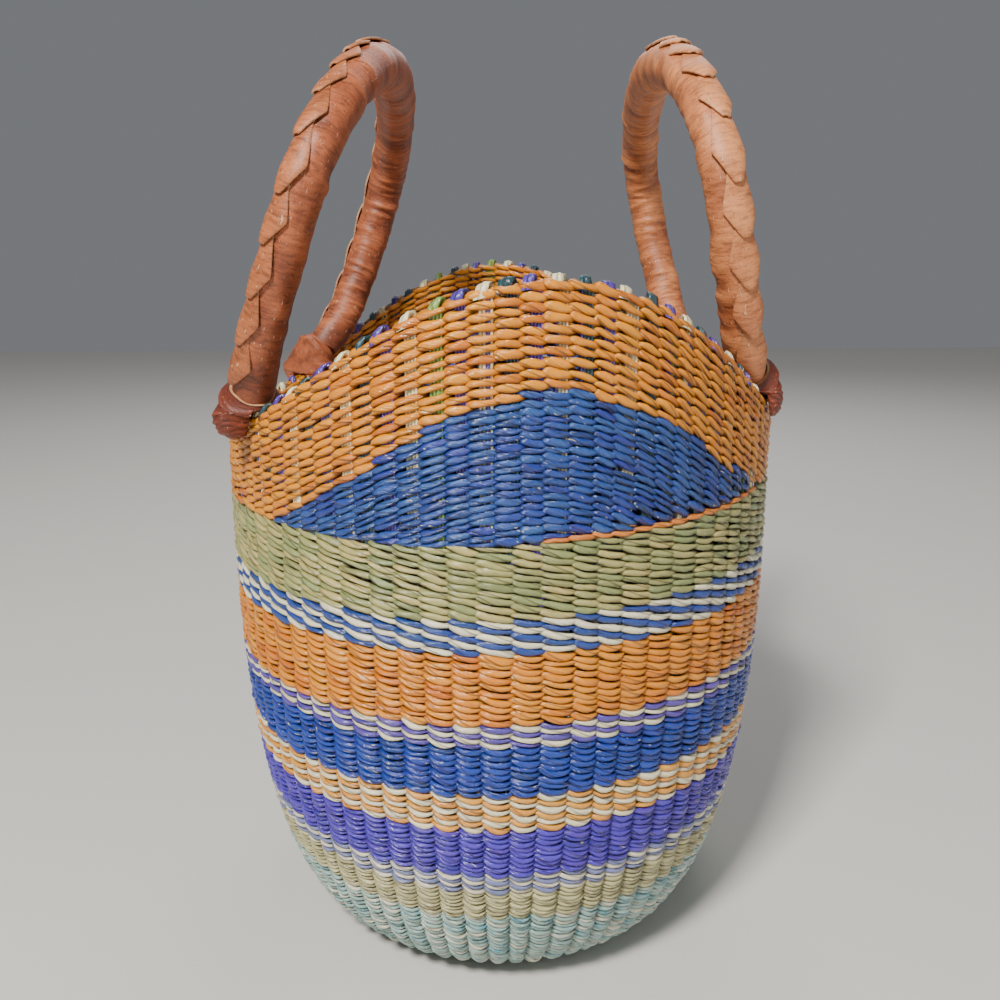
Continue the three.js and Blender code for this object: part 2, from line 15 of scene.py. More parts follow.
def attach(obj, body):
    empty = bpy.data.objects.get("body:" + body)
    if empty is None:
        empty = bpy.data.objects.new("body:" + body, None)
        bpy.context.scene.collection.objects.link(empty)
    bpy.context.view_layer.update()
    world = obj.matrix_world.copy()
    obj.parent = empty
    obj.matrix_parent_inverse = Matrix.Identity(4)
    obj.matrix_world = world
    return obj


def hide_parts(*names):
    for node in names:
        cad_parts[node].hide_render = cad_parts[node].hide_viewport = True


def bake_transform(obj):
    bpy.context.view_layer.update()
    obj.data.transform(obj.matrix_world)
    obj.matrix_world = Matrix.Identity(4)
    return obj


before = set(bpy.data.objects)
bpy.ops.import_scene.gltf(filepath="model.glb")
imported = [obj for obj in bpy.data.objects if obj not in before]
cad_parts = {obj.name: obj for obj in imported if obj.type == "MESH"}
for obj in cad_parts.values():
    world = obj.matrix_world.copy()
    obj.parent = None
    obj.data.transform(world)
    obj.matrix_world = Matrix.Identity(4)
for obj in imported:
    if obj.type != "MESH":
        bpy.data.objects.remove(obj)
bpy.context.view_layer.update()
MM = 0.001
SEED = 72
chance = np.random.default_rng(SEED)
print("packed nodes:", len(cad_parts))

# %% [markdown]
# ## The camera
# It stands where the photographer stood: near one raised end, a little above the rim, looking
# slightly down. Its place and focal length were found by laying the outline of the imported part
# over the photograph. It comes first, so every later step can be looked at from the same place.

# %% Camera
FOCAL_LENGTH, SENSOR_WIDTH = 37.73, 36
CAMERA_PLACE = (-0.0282, -0.5593, 0.345)
CAMERA_TURN = (math.radians(76.3), 0, math.radians(-3))


def placed(name, data):
    """A new object that shows the data in the scene."""
    obj = bpy.data.objects.new(name, data)
    bpy.context.scene.collection.objects.link(obj)
    return obj


lens = bpy.data.cameras.new("camera")
lens.lens = FOCAL_LENGTH
lens.sensor_width = SENSOR_WIDTH
camera = placed("camera", lens)
camera.location = CAMERA_PLACE
camera.rotation_euler = CAMERA_TURN
bpy.context.scene.camera = camera
print("camera at", CAMERA_PLACE)

# %% [markdown]
# ## The basket's form
# The wall is a barrel: an oval in plan that widens quickly from a flat foot. A place on it is an
# angle round the basket, a distance along the wall up from the foot, and a depth into the wall.
# Distance along the wall is used and not height, because a weaver's rows are evenly spaced along
# the wall, also where it runs almost flat near the foot.

# %% Profile of the wall
HALF_WIDTH, HALF_LENGTH = 140 * MM, 166 * MM
BASE_HALF_WIDTH = 73 * MM
WIDEST_HEIGHT = 197 * MM
ROUNDNESS = 3.1  # the higher, the faster the wall widens above its foot
WALL = 8 * MM
OVAL = HALF_LENGTH / HALF_WIDTH
MAT_SPAN = 80 * MM  # the mat under the basket, from its edge to its middle
SLOPE_STEP = 2 * MM  # the wall's slope is taken over this step up and down


def half_width(height):
    below = 1 - np.clip(height / WIDEST_HEIGHT, 0, 1)
    return BASE_HALF_WIDTH + (HALF_WIDTH - BASE_HALF_WIDTH) * (1 - below**2) ** (1 / ROUNDNESS)


profile_heights = np.concatenate([np.linspace(0, 0.2, 90) ** 2, np.linspace(0.0403, 0.36, 700)])
profile_widths = half_width(profile_heights) * (1 + OVAL) / 2
steps = np.hypot(np.diff(profile_heights), np.diff(profile_widths))
profile_run = np.concatenate([[0], np.cumsum(steps)])


def run_at(height):
    return np.interp(height, profile_heights, profile_run)


def wall_point(angle, run, depth):
    """Points of the wall. A negative run lies on the flat mat under the basket."""
    height = np.interp(run, profile_run, profile_heights)
    low = np.maximum(height - SLOPE_STEP, 0)
    rise = height + SLOPE_STEP - low
    widening = half_width(height + SLOPE_STEP) - half_width(low)
    size = np.hypot(rise, widening)
    on_mat = run < 0
    share = np.where(on_mat, 1 + run / MAT_SPAN, 1)
    out = np.where(on_mat, 0, rise / size)
    up = np.where(on_mat, -1, -widening / size)
    width = half_width(height)
    x = (width * share - depth * out) * np.sin(angle)
    y = -(width * OVAL * share - depth * out) * np.cos(angle)
    return np.stack(np.broadcast_arrays(x, y, height - depth * up), -1)


print("wall from foot to its widest: %.0f mm" % (run_at(WIDEST_HEIGHT) / MM))

# %% [markdown]
# ## Rim and wedges
# The two ends of the rim stand higher than the sides. The weaver gets there with short rows: a
# wedge of navy weft at each end, thickest in the middle, and golden rows that run over it.

# %% Heights of the rows and the rim
BANDS_TOP = 230 * MM
NEAR_TURN, FAR_TURN = math.radians(4.5), math.radians(-3)
WEDGE_MIDDLES = (NEAR_TURN, math.radians(177))
WEDGE_RISE, WEDGE_SPAN, WEDGE_POINT = 59 * MM, math.radians(58), 1.7
GOLD_SIDE, GOLD_PEAK, PEAK_POINT = 30 * MM, 44 * MM, 2.75
ROW_CLIMB, RIM_CLIMB = 5 * MM, 2 * MM
BORDER = 5 * MM


def turns_of(count):
    """Directions spread evenly over a full turn."""
    return np.arange(count) * 2 * math.pi / count


def half_turn(angle):
    """The same direction, as an angle within half a turn of the front."""
    return (angle + math.pi) % (2 * math.pi) - math.pi


def row_height(angle, height):
    """The rows climb a little towards +X."""
    return height + ROW_CLIMB * np.sin(angle) * (height / BANDS_TOP)


def rim_height(angle):
    turn = FAR_TURN + (NEAR_TURN - FAR_TURN) * (1 + np.cos(angle)) / 2
    nearness = np.abs(np.cos(angle - turn)) ** PEAK_POINT
    gold = GOLD_SIDE + (WEDGE_RISE + GOLD_PEAK - GOLD_SIDE) * nearness
    return BANDS_TOP + gold + RIM_CLIMB * np.sin(angle)


def wedge_rise(angle):
    rise = 0
    for middle in WEDGE_MIDDLES:
        away = np.minimum(np.abs(half_turn(angle - middle)) / WEDGE_SPAN, 1)
        rise = rise + np.cos(away * math.pi / 2) ** WEDGE_POINT
    return WEDGE_RISE * rise


for place, turn in (("raised end", 0), ("side", math.pi / 2)):
    print("rim at the %s: %.0f mm high" % (place, rim_height(turn) / MM))

# %% [markdown]
# ## Columns
# The weft goes over and under the stakes, so each row shows one stitch for each stake and the
# stitches stack up in columns. The body has 72. Above the green band the weaver split some stakes,
# so the collar's columns are narrower. No weaver spaces the stakes perfectly: each groove between
# two columns is moved a little, the same way in every row, and drifts slowly with height.

# %% Columns of stitches
class Columns:
    """Stakes round the basket. Shifts and drifts are shares of a column's width."""

    SHIFT, MOST_SHIFT, DRIFT = 0.05, 0.08, 0.07
    WAVES = (50 * MM, 83 * MM)

    def __init__(self, count):
        self.count = count
        self.pitch = 2 * math.pi / count
        self.every = np.arange(count)
        self.middle = (self.every + 0.5) * self.pitch + NEAR_TURN
        self.shift = np.clip(chance.normal(0, self.SHIFT, count), -self.MOST_SHIFT, self.MOST_SHIFT)
        self.drift = chance.normal(0, self.DRIFT, (2, count))

    def groove(self, column, run):
        """Angle of the groove on the lower side of a column, at a run along the wall."""
        k = column % self.count
        waves = np.sin(run / self.WAVES[0] + k), np.cos(run / self.WAVES[1])
        sway = (self.drift[0][k] * waves[0] + self.drift[1][k] * waves[1]) / 2
        return (column + self.shift[k] + sway) * self.pitch + NEAR_TURN


body_columns, collar_columns = Columns(72), Columns(90)
print(body_columns.count, "columns in the body and", collar_columns.count, "in the collar")

# %% [markdown]
# ## Meshes from numbers
# The stitches, stems and handles are all tubes, and there are thousands of them. Made one by one
# with Blender's operators they would take minutes. Arrays of points and faces go into a mesh in
# one step, and the mesh also stores what each point carries for the finish, such as its place
# along the strand.

# %% Tubes and smooth objects
ATTRIBUTE_KINDS = {1: ("FLOAT", "value"), 3: ("FLOAT_VECTOR", "vector"), 4: ("FLOAT_COLOR", "color")}


def tube_quads(rings, sides):
    """Faces of one tube, whose points are counted ring by ring."""
    ring, side = np.mgrid[0 : rings - 1, 0:sides]
    after = (side + 1) % sides
    ring = ring * sides
    quads = np.stack([ring + side, ring + after, ring + sides + after, ring + sides + side], -1)
    return quads.reshape(-1, 4)


def spread_over(shape, *parts):
    """Several values for each point, each spread over the whole shape."""
    return np.stack([np.broadcast_to(part, shape) for part in parts], -1)


def repeated(quads, count, points_each):
    """The same faces for each of many pieces."""
    return ((np.arange(count) * points_each)[:, None, None] + quads[None]).reshape(-1, 4)


def smooth_object(name, points, quads, material, uv=None, **values_of):
    """A smooth object of quads, turned so that its faces look outwards."""
    points = points.reshape(-1, 3)
    a, b, c, d = (points[quads[:, k]] for k in range(4))
    volume = (np.cross(b - a, c - a) * a).sum() + (np.cross(c - a, d - a) * a).sum()
    if volume < 0:
        quads = quads[:, ::-1]
        uv = None if uv is None else uv.reshape(-1, 4, 2)[:, ::-1]
    mesh = bpy.data.meshes.new(name)
    mesh.vertices.add(len(points))
    mesh.vertices.foreach_set("co", points.astype(np.float32).ravel())
    mesh.loops.add(quads.size)
    mesh.loops.foreach_set("vertex_index", quads.astype(np.int32).ravel())
    mesh.polygons.add(len(quads))
    mesh.polygons.foreach_set("loop_start", np.arange(0, quads.size, 4, dtype=np.int32))
    if uv is not None:
        mesh.uv_layers.new(name="OFBake").uv.foreach_set("vector", uv.astype(np.float32).ravel())
    mesh.update(calc_edges=True)
    mesh.shade_smooth()
    for key, values in values_of.items():
        kind, field = ATTRIBUTE_KINDS[values.size // len(points)]
        attribute = mesh.attributes.new(key, kind, "POINT")
        attribute.data.foreach_set(field, values.astype(np.float32).ravel())
    mesh.materials.append(material)
    return placed(name, mesh)


def tubes_object(name, points, material, **values_of):
    """Many open tubes in one object. points are counted by tube, ring and side."""
    count, rings, sides = points.shape[:3]
    quads = repeated(tube_quads(rings, sides), count, rings * sides)
    return smooth_object(name, points, quads, material, **values_of)


print("what a point can carry:", [kind for kind, _ in ATTRIBUTE_KINDS.values()])

# %% [markdown]
# ## One stitch
# On the real basket a stitch is a twisted bundle of split grass. Its left end comes out of the
# groove, over the end of its neighbour. It swells as it crosses the stake, sinks, and dives under
# the next stitch. High on the wall the stitches slant and hide the grooves. Lower down they are
# beaten tight, so they curve like a row of smiles between deep grooves. A curve with a bevel could
# make one, but thousands of curve objects are slow to handle. Here all stitches of a row are
# computed together: eleven sections along a stitch, each a ring of a few points. Two lobes turn
# along it like the bundle's own twist.

# %% Shape of a stitch
ALONG = np.array([-0.27, -0.17, -0.06, 0.07, 0.23, 0.42, 0.6, 0.77, 0.91, 1.04, 1.16])
SWELL = np.array([0.36, 0.72, 0.9, 0.98, 1.0, 0.98, 0.93, 0.83, 0.68, 0.48, 0.25])
FLAT_SINK = np.array([2.6, 1.9, 1.6, 1.45, 1.4, 1.45, 1.65, 2.05, 2.5, 3.0, 3.5]) * MM
DEEP_SINK = np.array([5.2, 4.5, 3.6, 2.55, 1.8, 1.5, 1.6, 2.15, 3.1, 4.3, 5.0]) * MM
SLANT = np.array([1.0, 0.95, 0.82, 0.6, 0.3, 0.0, -0.28, -0.53, -0.73, -0.9, -1.0])
SMILE = np.array([0.82, 0.76, 0.62, 0.36, 0.04, -0.18, -0.28, -0.28, -0.18, 0.0, 0.06])
THICK, MOST_HALF_HEIGHT, MOST_RISE = 1.45 * MM, 1.72 * MM, 2.1 * MM
FULL = 1.04  # a stitch is a little taller than its row, so it presses on the next
TWIST, LOBE = 0.45, 0.17
SLIP, FATNESS, LEAN, DEPTH = 0.02, 0.1, 0.16, 0.16  # how unevenly the stitches are made
ATLAS_SHAPE, ATLAS_MARGIN = 2.5, 0.04  # stitches on the square that baked colours use
print("a stitch has", len(ALONG), "sections")

# %% Skin of a stitch
def closed_tube(rings, sides):
    """Faces of a tube with closed ends, and each face's place on its unwrapped skin."""
    last = (rings - 1) * sides
    caps = []
    for k in range(1, sides - 2, 2):
        caps.append([0, k + 2, k + 1, k])
        caps.append([last, last + k, last + k + 1, last + k + 2])
    ring, side = np.mgrid[0 : rings - 1, 0:sides]
    u, v, du, dv = ring / (rings - 1), side / sides, 1 / (rings - 1), 1 / sides
    tube_uv = np.stack([u, v, u, v + dv, u + du, v + dv, u + du, v], -1).reshape(-1, 4, 2)
    cap_uv = np.zeros((len(caps), 4, 2))
    cap_uv[:, :, 0] = (np.arange(len(caps)) % 2)[:, None]
    cap_uv[:, :, 1] = [0.2, 0.4, 0.6, 0.8]
    return np.concatenate([tube_quads(rings, sides), caps]), np.concatenate([tube_uv, cap_uv])


print("faces of a stitch with 8 sides:", len(closed_tube(len(ALONG), 8)[0]))

# %% Rows of stitches
class Stitches:
    """Collects the stitches of one piece row by row, and makes its mesh.

    rib 0 is a slanting stitch over a flat wall, and rib 1 a smile between two deep grooves.
    """

    def __init__(self, grid, sides, rib, slant=1.0):
        self.grid, self.sides = grid, sides
        self.rise = SLANT * slant + (SMILE - SLANT * slant) * rib
        self.sink = FLAT_SINK + (DEEP_SINK - FLAT_SINK) * rib
        self.points, self.places, self.seconds = [], [], []

    def add_row(self, columns, edges, second, step=1, inside=False, slack=0.08, sink=None, thick=THICK):
        """One row over the given columns. edges gives the row's low and high run at an angle."""
        count = len(columns)
        if not count:
            return

        def varied(amount):
            return chance.normal(0, amount, (count, 1))

        middle_run = sum(edges((columns + 0.5 * step) * self.grid.pitch + NEAR_TURN)) / 2
        left = self.grid.groove(columns, middle_run)
        right = self.grid.groove(columns + step, middle_run)
        if inside:
            left, right = right, left
        along = ALONG + varied(SLIP)
        angle = left[:, None] + (right - left)[:, None] * along
        low, high = edges(angle)
        half = (high - low) / 2
        luck = chance.random((count, 1))
        fat = FULL * (1 + varied(FATNESS))
        drop = self.rise * (1 + varied(LEAN)) + varied(slack)
        middle = (low + high) / 2 + np.minimum(half, MOST_RISE) * drop
        deep = (self.sink if sink is None else sink) + varied(DEPTH) * MM
        size = np.minimum(half * fat, MOST_HALF_HEIGHT * fat / FULL)
        turn = math.pi * (1 + 2 * np.arange(self.sides) / self.sides)
        twisting = 2 * (turn - 2 * math.pi * TWIST * ALONG[:, None]) + 2 * math.pi * luck[..., None]
        lobe = 1 + LOBE * np.cos(twisting)
        run = middle[..., None] + (size * SWELL)[..., None] * np.sin(turn) * lobe
        depth = deep[..., None] - thick * (SWELL**0.7)[None, :, None] * np.cos(turn) * lobe
        if inside:
            depth = WALL - depth
        self.points.append(wall_point(angle[..., None], run, depth))
        round_it = np.arange(self.sides) / self.sides
        self.places.append(spread_over(run.shape, ALONG[:, None], round_it, luck[..., None]))
        self.seconds.append(np.broadcast_to(np.asarray(second) % 2, (count,)).astype(float))

    def mesh_object(self, name, material):
        """The piece, with its stitches side by side on one square for baked colours."""
        points = np.concatenate(self.points)
        points[..., 2] = np.maximum(points[..., 2], 0)  # flattened where the basket stands
        count, rings, sides = points.shape[:3]
        faces, face_uv = closed_tube(rings, sides)
        wide = max(1, math.ceil(math.sqrt(count / ATLAS_SHAPE)))
        tall = math.ceil(count / wide)
        cell = np.stack([np.arange(count) % wide, np.arange(count) // wide], -1)[:, None, None]
        uv = (cell + ATLAS_MARGIN + (1 - 2 * ATLAS_MARGIN) * face_uv[None]) / [wide, tall]
        quads = repeated(faces, count, rings * sides)
        second = np.repeat(np.concatenate(self.seconds), rings * sides)
        places = np.concatenate(self.places)
        print(name, count, "stitches")
        return smooth_object(name, points, quads, material, uv, strand_place=places, second_strand=second)


print("thickness of a stitch: %.1f mm" % (2 * THICK / MM))

# %% [markdown]
# ## Dyed grass
# Split elephant grass is dyed in small bundles, so no two strands have quite the same colour, and
# thin fibres show along each one. Where a strand cracked after dyeing, pale straw shows. An image
# of a weave would repeat and go flat near the camera. A node group does it from three numbers that
# each stitch carries: how far along it a point is, how far round it, and the stitch's own luck.
# The helpers come first. Each adds one node and returns its output, so a chain of nodes reads like
# a sum.

# %% Helpers for shader nodes
def node(tree, kind, links=None, **values):
    """Adds a node, sets its values, and links or sets its inputs."""
    made = tree.nodes.new(kind)
    for key, value in values.items():
        setattr(made, key, value)
    for key, value in (links or {}).items():
        if isinstance(value, bpy.types.NodeSocket):
            tree.links.new(value, made.inputs[key])
        else:
            made.inputs[key].default_value = value
    return made


def carried(tree, name, output="Fac"):
    """What the points carry under a name."""
    return node(tree, "ShaderNodeAttribute", attribute_name=name).outputs[output]


def maths(tree, kind, a, b=0.0, c=0.0, clamp=False):
    inputs = {0: a, 1: b, 2: c}
    return node(tree, "ShaderNodeMath", inputs, operation=kind, use_clamp=clamp).outputs[0]


def scaled(tree, vector, scale):
    return node(tree, "ShaderNodeVectorMath", {0: vector, 1: scale}, operation="MULTIPLY").outputs[0]


def mapped(tree, value, low, high, to_low=0.0, to_high=1.0):
    inputs = {0: value, 1: low, 2: high, 3: to_low, 4: to_high}
    return node(tree, "ShaderNodeMapRange", inputs, clamp=True).outputs[0]


def noise(tree, vector, scale, detail=2.0, roughness=0.5, distortion=0.0):
    inputs = {"Vector": vector, "Scale": scale, "Detail": detail}
    inputs.update({"Roughness": roughness, "Distortion": distortion})
    return node(tree, "ShaderNodeTexNoise", inputs).outputs["Fac"]


def ramp(tree, factor, stops):
    """Turns a factor into grey, by stops of a place and a shade."""
    made = node(tree, "ShaderNodeValToRGB", {"Fac": factor})
    elements = made.color_ramp.elements
    while len(elements) < len(stops):
        elements.new(0.5)
    for element, (position, shade) in zip(elements, stops):
        element.position = position
        element.color = (shade, shade, shade, 1)
    return made.outputs["Color"]


def mix(tree, factor, a, b, blend="MIX"):
    inputs = {0: factor, 6: a, 7: b}
    return node(tree, "ShaderNodeMix", inputs, data_type="RGBA", blend_type=blend).outputs[2]


def dye(code):
    """A colour as painters write it, made linear for the shader."""
    parts = [int(code[k : k + 2], 16) / 255 for k in (1, 3, 5)]
    return (*[c / 12.92 if c <= 0.04045 else ((c + 0.055) / 1.055) ** 2.4 for c in parts], 1)


def finish_group(name, colours, numbers):
    """A group that takes colours and numbers and puts out colour, roughness and height."""
    group = bpy.data.node_groups.new(name, "ShaderNodeTree")
    for kind, inputs in (("NodeSocketColor", colours), ("NodeSocketFloat", numbers)):
        for label, value in inputs.items():
            socket = group.interface.new_socket(label, in_out="INPUT", socket_type=kind)
            socket.default_value = value
    group.interface.new_socket("Colour", in_out="OUTPUT", socket_type="NodeSocketColor")
    for label in ("Roughness", "Height"):
        group.interface.new_socket(label, in_out="OUTPUT", socket_type="NodeSocketFloat")
    return group, group.nodes.new("NodeGroupInput").outputs, group.nodes.new("NodeGroupOutput")


def put_out(tree, result, **sockets):
    for label, socket in sockets.items():
        tree.links.new(socket, result.inputs[label])


STRAW = dye("#e6d9ae")
print("straw is", [round(part, 2) for part in STRAW])

# %% [markdown]
# ## Fibres, blotches and cracks
# Noise stretched along the twist gives fine fibres. A wave that runs round the strand gives the
# dark lines where its stems part. Softer noise gives the blotches of the dye, and the highest
# spots of another one are the cracks.

# %% Node group for grass: patterns
# Of the numbers, the second sets how strongly shade is painted into the sheltered parts of a strand.
grass_group, given, result = finish_group(
    "grass_fibres",
    {"Dye": STRAW, "Faded": STRAW},
    {"Cracks": 0.1, "Painted_Shade": 1.0, "Unevenness": 0.3, "Gloss": 0.5},
)
t = grass_group
place = carried(t, "strand_place", "Vector")
along_strand, round_strand, luck = node(t, "ShaderNodeSeparateXYZ", {0: place}).outputs
twisted = maths(t, "MULTIPLY_ADD", along_strand, TWIST, round_strand)
own_place = maths(t, "MULTIPLY", luck, 61.0)
fibre_place = node(t, "ShaderNodeCombineXYZ", {0: along_strand, 1: twisted, 2: own_place}).outputs[0]
fibres = mapped(t, noise(t, scaled(t, fibre_place, (1.3, 15.0, 1.0)), 1.0, 3.0, 0.6), 0.28, 0.72)
split_wave = maths(t, "PINGPONG", maths(t, "MULTIPLY_ADD", twisted, 2.0, own_place), 1.0)
splits = mapped(t, split_wave, 0.0, 0.16, 1.0, 0.0)
blotches = noise(t, scaled(t, fibre_place, (1.5, 2.5, 3.0)), 1.3)
cracked = noise(t, scaled(t, fibre_place, (3.2, 9.0, 7.0)), 1.0, 1.0)
crack_edge = maths(t, "SUBTRACT", 0.86, given["Cracks"])
cracks = maths(t, "MULTIPLY", maths(t, "SUBTRACT", cracked, crack_edge), 22.0, clamp=True)
print("nodes for the patterns:", len(t.nodes))

# %% [markdown]
# ## Colour of the grass
# A stitch's luck makes it lighter or darker and shifts its hue a little, and some stitches are
# partly faded. Shade is painted into the colour where a strand is sheltered: on its hidden inner
# side, on its lower side more than on its upper side, and at its tucked ends.

# %% Node group for grass: colour, gloss and relief
bundle = mapped(t, luck, 0.0, 1.0, -0.5, 0.5)
shade = maths(t, "ADD", bundle, maths(t, "MULTIPLY_ADD", blotches, 1.1, -0.55))
shade = maths(t, "ADD", shade, maths(t, "MULTIPLY_ADD", fibres, 1.2, -0.6))
value = maths(t, "MULTIPLY_ADD", shade, given["Unevenness"], 1.0)
hue = maths(t, "MULTIPLY_ADD", bundle, 0.018, 0.5)
dyed = node(t, "ShaderNodeHueSaturation", {"Color": given["Dye"], "Value": value, "Hue": hue})
faded_share = maths(t, "FRACT", maths(t, "MULTIPLY", luck, 7.0))
faded_mask = maths(t, "MULTIPLY", faded_share, maths(t, "MULTIPLY", blotches, 1.7), clamp=True)
colour = mix(t, faded_mask, dyed.outputs["Color"], given["Faded"])
colour = mix(t, maths(t, "MULTIPLY", splits, 0.55), colour, dye("#2c1d10"))
# Painted shade: ramps darken a strand on its hidden and lower sides and at its tucked ends.
UNDERSIDE_SHADE = [(0.12, 0.2), (0.3, 0.45), (0.44, 0.93), (0.6, 1.0), (0.74, 0.72), (0.88, 0.2)]
TUCKED_END_SHADE = [(0.0, 0.9), (0.1, 1.0), (0.8, 1.0), (0.94, 0.72), (1.0, 0.45)]
for factor, stops in ((round_strand, UNDERSIDE_SHADE), (along_strand, TUCKED_END_SHADE)):
    darkened = mix(t, 1.0, colour, ramp(t, factor, stops), "MULTIPLY")
    colour = mix(t, given["Painted_Shade"], colour, darkened)
colour = mix(t, cracks, colour, STRAW)
rough = maths(t, "MULTIPLY_ADD", fibres, 0.18, given["Gloss"])
height = maths(t, "MULTIPLY_ADD", splits, -1.2, fibres)
put_out(t, result, Colour=colour, Roughness=rough, Height=height)
print("nodes in the grass group:", len(t.nodes))

# %% [markdown]
# ## Grass in one dye or two
# A row twined from two strands shows them in turn, so a material may hold two dyes, and each
# stitch says which of them it takes. Stakes carry their dye on every point, because the stems
# of one stake can differ.

# %% Materials from the group
GRASS_ROUGHNESS, GRASS_SHINE, RELIEF = 0.13, 0.9, 0.5 * MM


def bare_material(name):
    material = bpy.data.materials.new(name)
    material.use_nodes = True
    return material


def dressed(material, group, values, bumpiness, shine):
    """The material, its shader fed from a group that gets the material's own values."""
    tree = material.node_tree
    shader = tree.nodes["Principled BSDF"]
    skin = node(tree, "ShaderNodeGroup", values, node_tree=group).outputs
    relief = {"Height": skin["Height"], "Strength": bumpiness, "Distance": RELIEF}
    bump = node(tree, "ShaderNodeBump", relief).outputs
    tree.links.new(skin["Colour"], shader.inputs["Base Color"])
    tree.links.new(skin["Roughness"], shader.inputs["Roughness"])
    tree.links.new(bump["Normal"], shader.inputs["Normal"])
    shader.inputs["Specular IOR Level"].default_value = shine
    return material


def grass(name, first, second=None, faded=None, cracks=0.1, uneven=0.3, attribute=None):
    """A grass finish in one dye, or in two where the row's second strand has its own."""
    material = bare_material(name)
    tree = material.node_tree
    colour = dye(first)
    pale = dye(faded) if faded else tuple(min(1, 1.5 * part) for part in colour)
    if second:
        which = carried(tree, "second_strand")
        colour = mix(tree, which, dye(first), dye(second))
        pale = mix(tree, which, dye(faded), dye(second)) if faded else colour
    if attribute:
        colour = pale = carried(tree, attribute, "Color")
    values = {"Dye": colour, "Faded": pale, "Cracks": cracks, "Unevenness": uneven}
    # Grass whose points carry its colour gets no painted shade from the group.
    values.update({"Gloss": GRASS_ROUGHNESS, "Painted_Shade": 0.0 if attribute else 1.0})
    return dressed(material, grass_group, values, 0.8, GRASS_SHINE)


print("grass takes:", [socket.name for socket in given if socket.name])

# %% [markdown]
# ## The bands
# From the foot up: how high each band stands, its number of rows, and its one or two dyes. Rows
# near the foot are beaten down tighter, so their stitches smile. The line between two rows is
# never level: it wanders up and down in a few slow waves.

# %% Bands of weft
# Node, height in mm, rows, dye, second dye, faded dye, cracks, and rib as Stitches takes it.
BANDS = [
    ("weft_teal", 50, 30, "#ece6cb", "#a4c7bd", "#5aa5b2", 0.05, 1.0),
    ("weft_olive", 16, 7, "#b8b182", None, None, 0.06, 1.0),
    ("weft_grey", 10, 4, "#ebe3c8", "#8189ba", None, 0.05, 0.95),
    ("weft_purple", 24, 9, "#4832ae", None, None, 0.12, 0.95),
    ("weft_peach", 18, 6, "#f2a43c", "#f6ebc6", None, 0.04, 0.9),
    ("weft_blue", 24, 8, "#183a98", None, None, 0.14, 0.9),
    ("weft_lilac", 10, 4, "#f4ecc8", "#5d4ab0", None, 0.06, 0.75),
    ("weft_orange", 32, 10, "#ec8812", None, "#f5a028", 0.05, 0.6),
    ("weft_navy", 15, 5, "#faf2cf", "#26489c", None, 0.08, 0.2),
    ("weft_green", 31, 10, "#8f9c62", None, "#d4c078", 0.06, 0.0),
]
WANDER = [(3, 0.26), (7, 0.2), (17, 0.2), (31, 0.18)]  # waves round the basket, and mm
STEADY_ROWS = 4  # the first rows, at the mat, wander less
wander_phase = chance.uniform(0, 7, (160, len(WANDER)))


def wander(line, angle):
    """How far the line between two rows strays up and down round the basket."""
    waves = zip(WANDER, wander_phase[line])
    return sum(size * MM * np.sin(times * angle + phase) for (times, size), phase in waves)


def band_edges(row, low, high):
    """Low and high run of a row of the body, from the heights of its two lines."""
    steady = min(row / STEADY_ROWS, 1)

    def edges(angle):
        bottom = row_height(angle, low) + steady * wander(row, angle)
        return run_at(bottom), run_at(row_height(angle, high) + steady * wander(row + 1, angle))

    return edges


woven = []


def weave(node_name, outer, inner, material, faces=("_outside", "_inside")):
    """Makes the pieces of a band's outer and inner face, and notes the node they stand for."""
    for stitches, face in zip((outer, inner), faces):
        woven.append((stitches.mesh_object(node_name + face, material), node_name))


top_line, low = 0, 0.0
for node_name, tall, rows, first, second, faded, cracks, rib in BANDS:
    outer, inner = Stitches(body_columns, 8, rib), Stitches(body_columns, 6, rib)
    high = low + tall * MM
    runs = np.linspace(run_at(low), run_at(high), rows + 1)
    lines = np.interp(runs, profile_run, profile_heights)
    for line_low, line_high in zip(lines, lines[1:]):
        edges = band_edges(top_line, line_low, line_high)
        strand = body_columns.every + top_line
        outer.add_row(body_columns.every, edges, strand)
        inner.add_row(body_columns.every, edges, strand + 1, inside=True)
        top_line += 1
    weave(node_name, outer, inner, grass(node_name, first, second, faded, cracks))
    low = high

# %% [markdown]
# ## Wedges and collar
# Above the green band the rows follow the rim. They are counted down from it, and the lower ones
# stop where they meet the green band, which is what makes them short rows. A stitch is golden above
# the wedge's edge and navy below it, so the edge climbs in steps, as it does where a weaver changes
# strands. Half a row of orange was twined under the near wedge, on its right side. The rows are
# looser here and the stitches slant less, so they are drawn straighter, and the stakes show.

# %% Lines of the short rows
SIDE_ROW, PEAK_ROW, WEDGE_ROW = 3.5 * MM, 4.1 * MM, 3.1 * MM
ORANGE_ROW, ORANGE_START, ORANGE_END = 2.3 * MM, math.radians(2), math.radians(60)
ORANGE_TAPER = 0.06  # radians over which the half row begins and ends
LEAST_HEIGHT = 1.2 * MM
FIRST_SHORT_LINE = 100  # their lines wander on their own, apart from those of the body
column_middle = collar_columns.middle


def orange_row(angle):
    """Height of the half row of orange under the near wedge."""
    turn = half_turn(angle)
    starts = np.clip((turn - ORANGE_START) / ORANGE_TAPER, 0, 1)
    return ORANGE_ROW * starts * np.clip((ORANGE_END - turn) / ORANGE_TAPER, 0, 1)


def green_top(angle):
    return row_height(angle, BANDS_TOP) + wander(top_line, angle)


def short_row_line(line, angle):
    """Height of the line under a number of rows, counted down from the border."""
    high = rim_height(angle) - BORDER
    climb = np.clip((high - green_top(angle)) / (WEDGE_RISE + GOLD_PEAK), 0, 1)
    pitch = SIDE_ROW + (PEAK_ROW - SIDE_ROW) * climb
    golden_rows = (high - green_top(angle) - wedge_rise(angle)) / pitch
    below = np.maximum(line - golden_rows, 0)
    down = (line - below) * pitch + below * WEDGE_ROW
    return high - down + (wander(FIRST_SHORT_LINE + int(line), angle) if line >= 1 else 0)


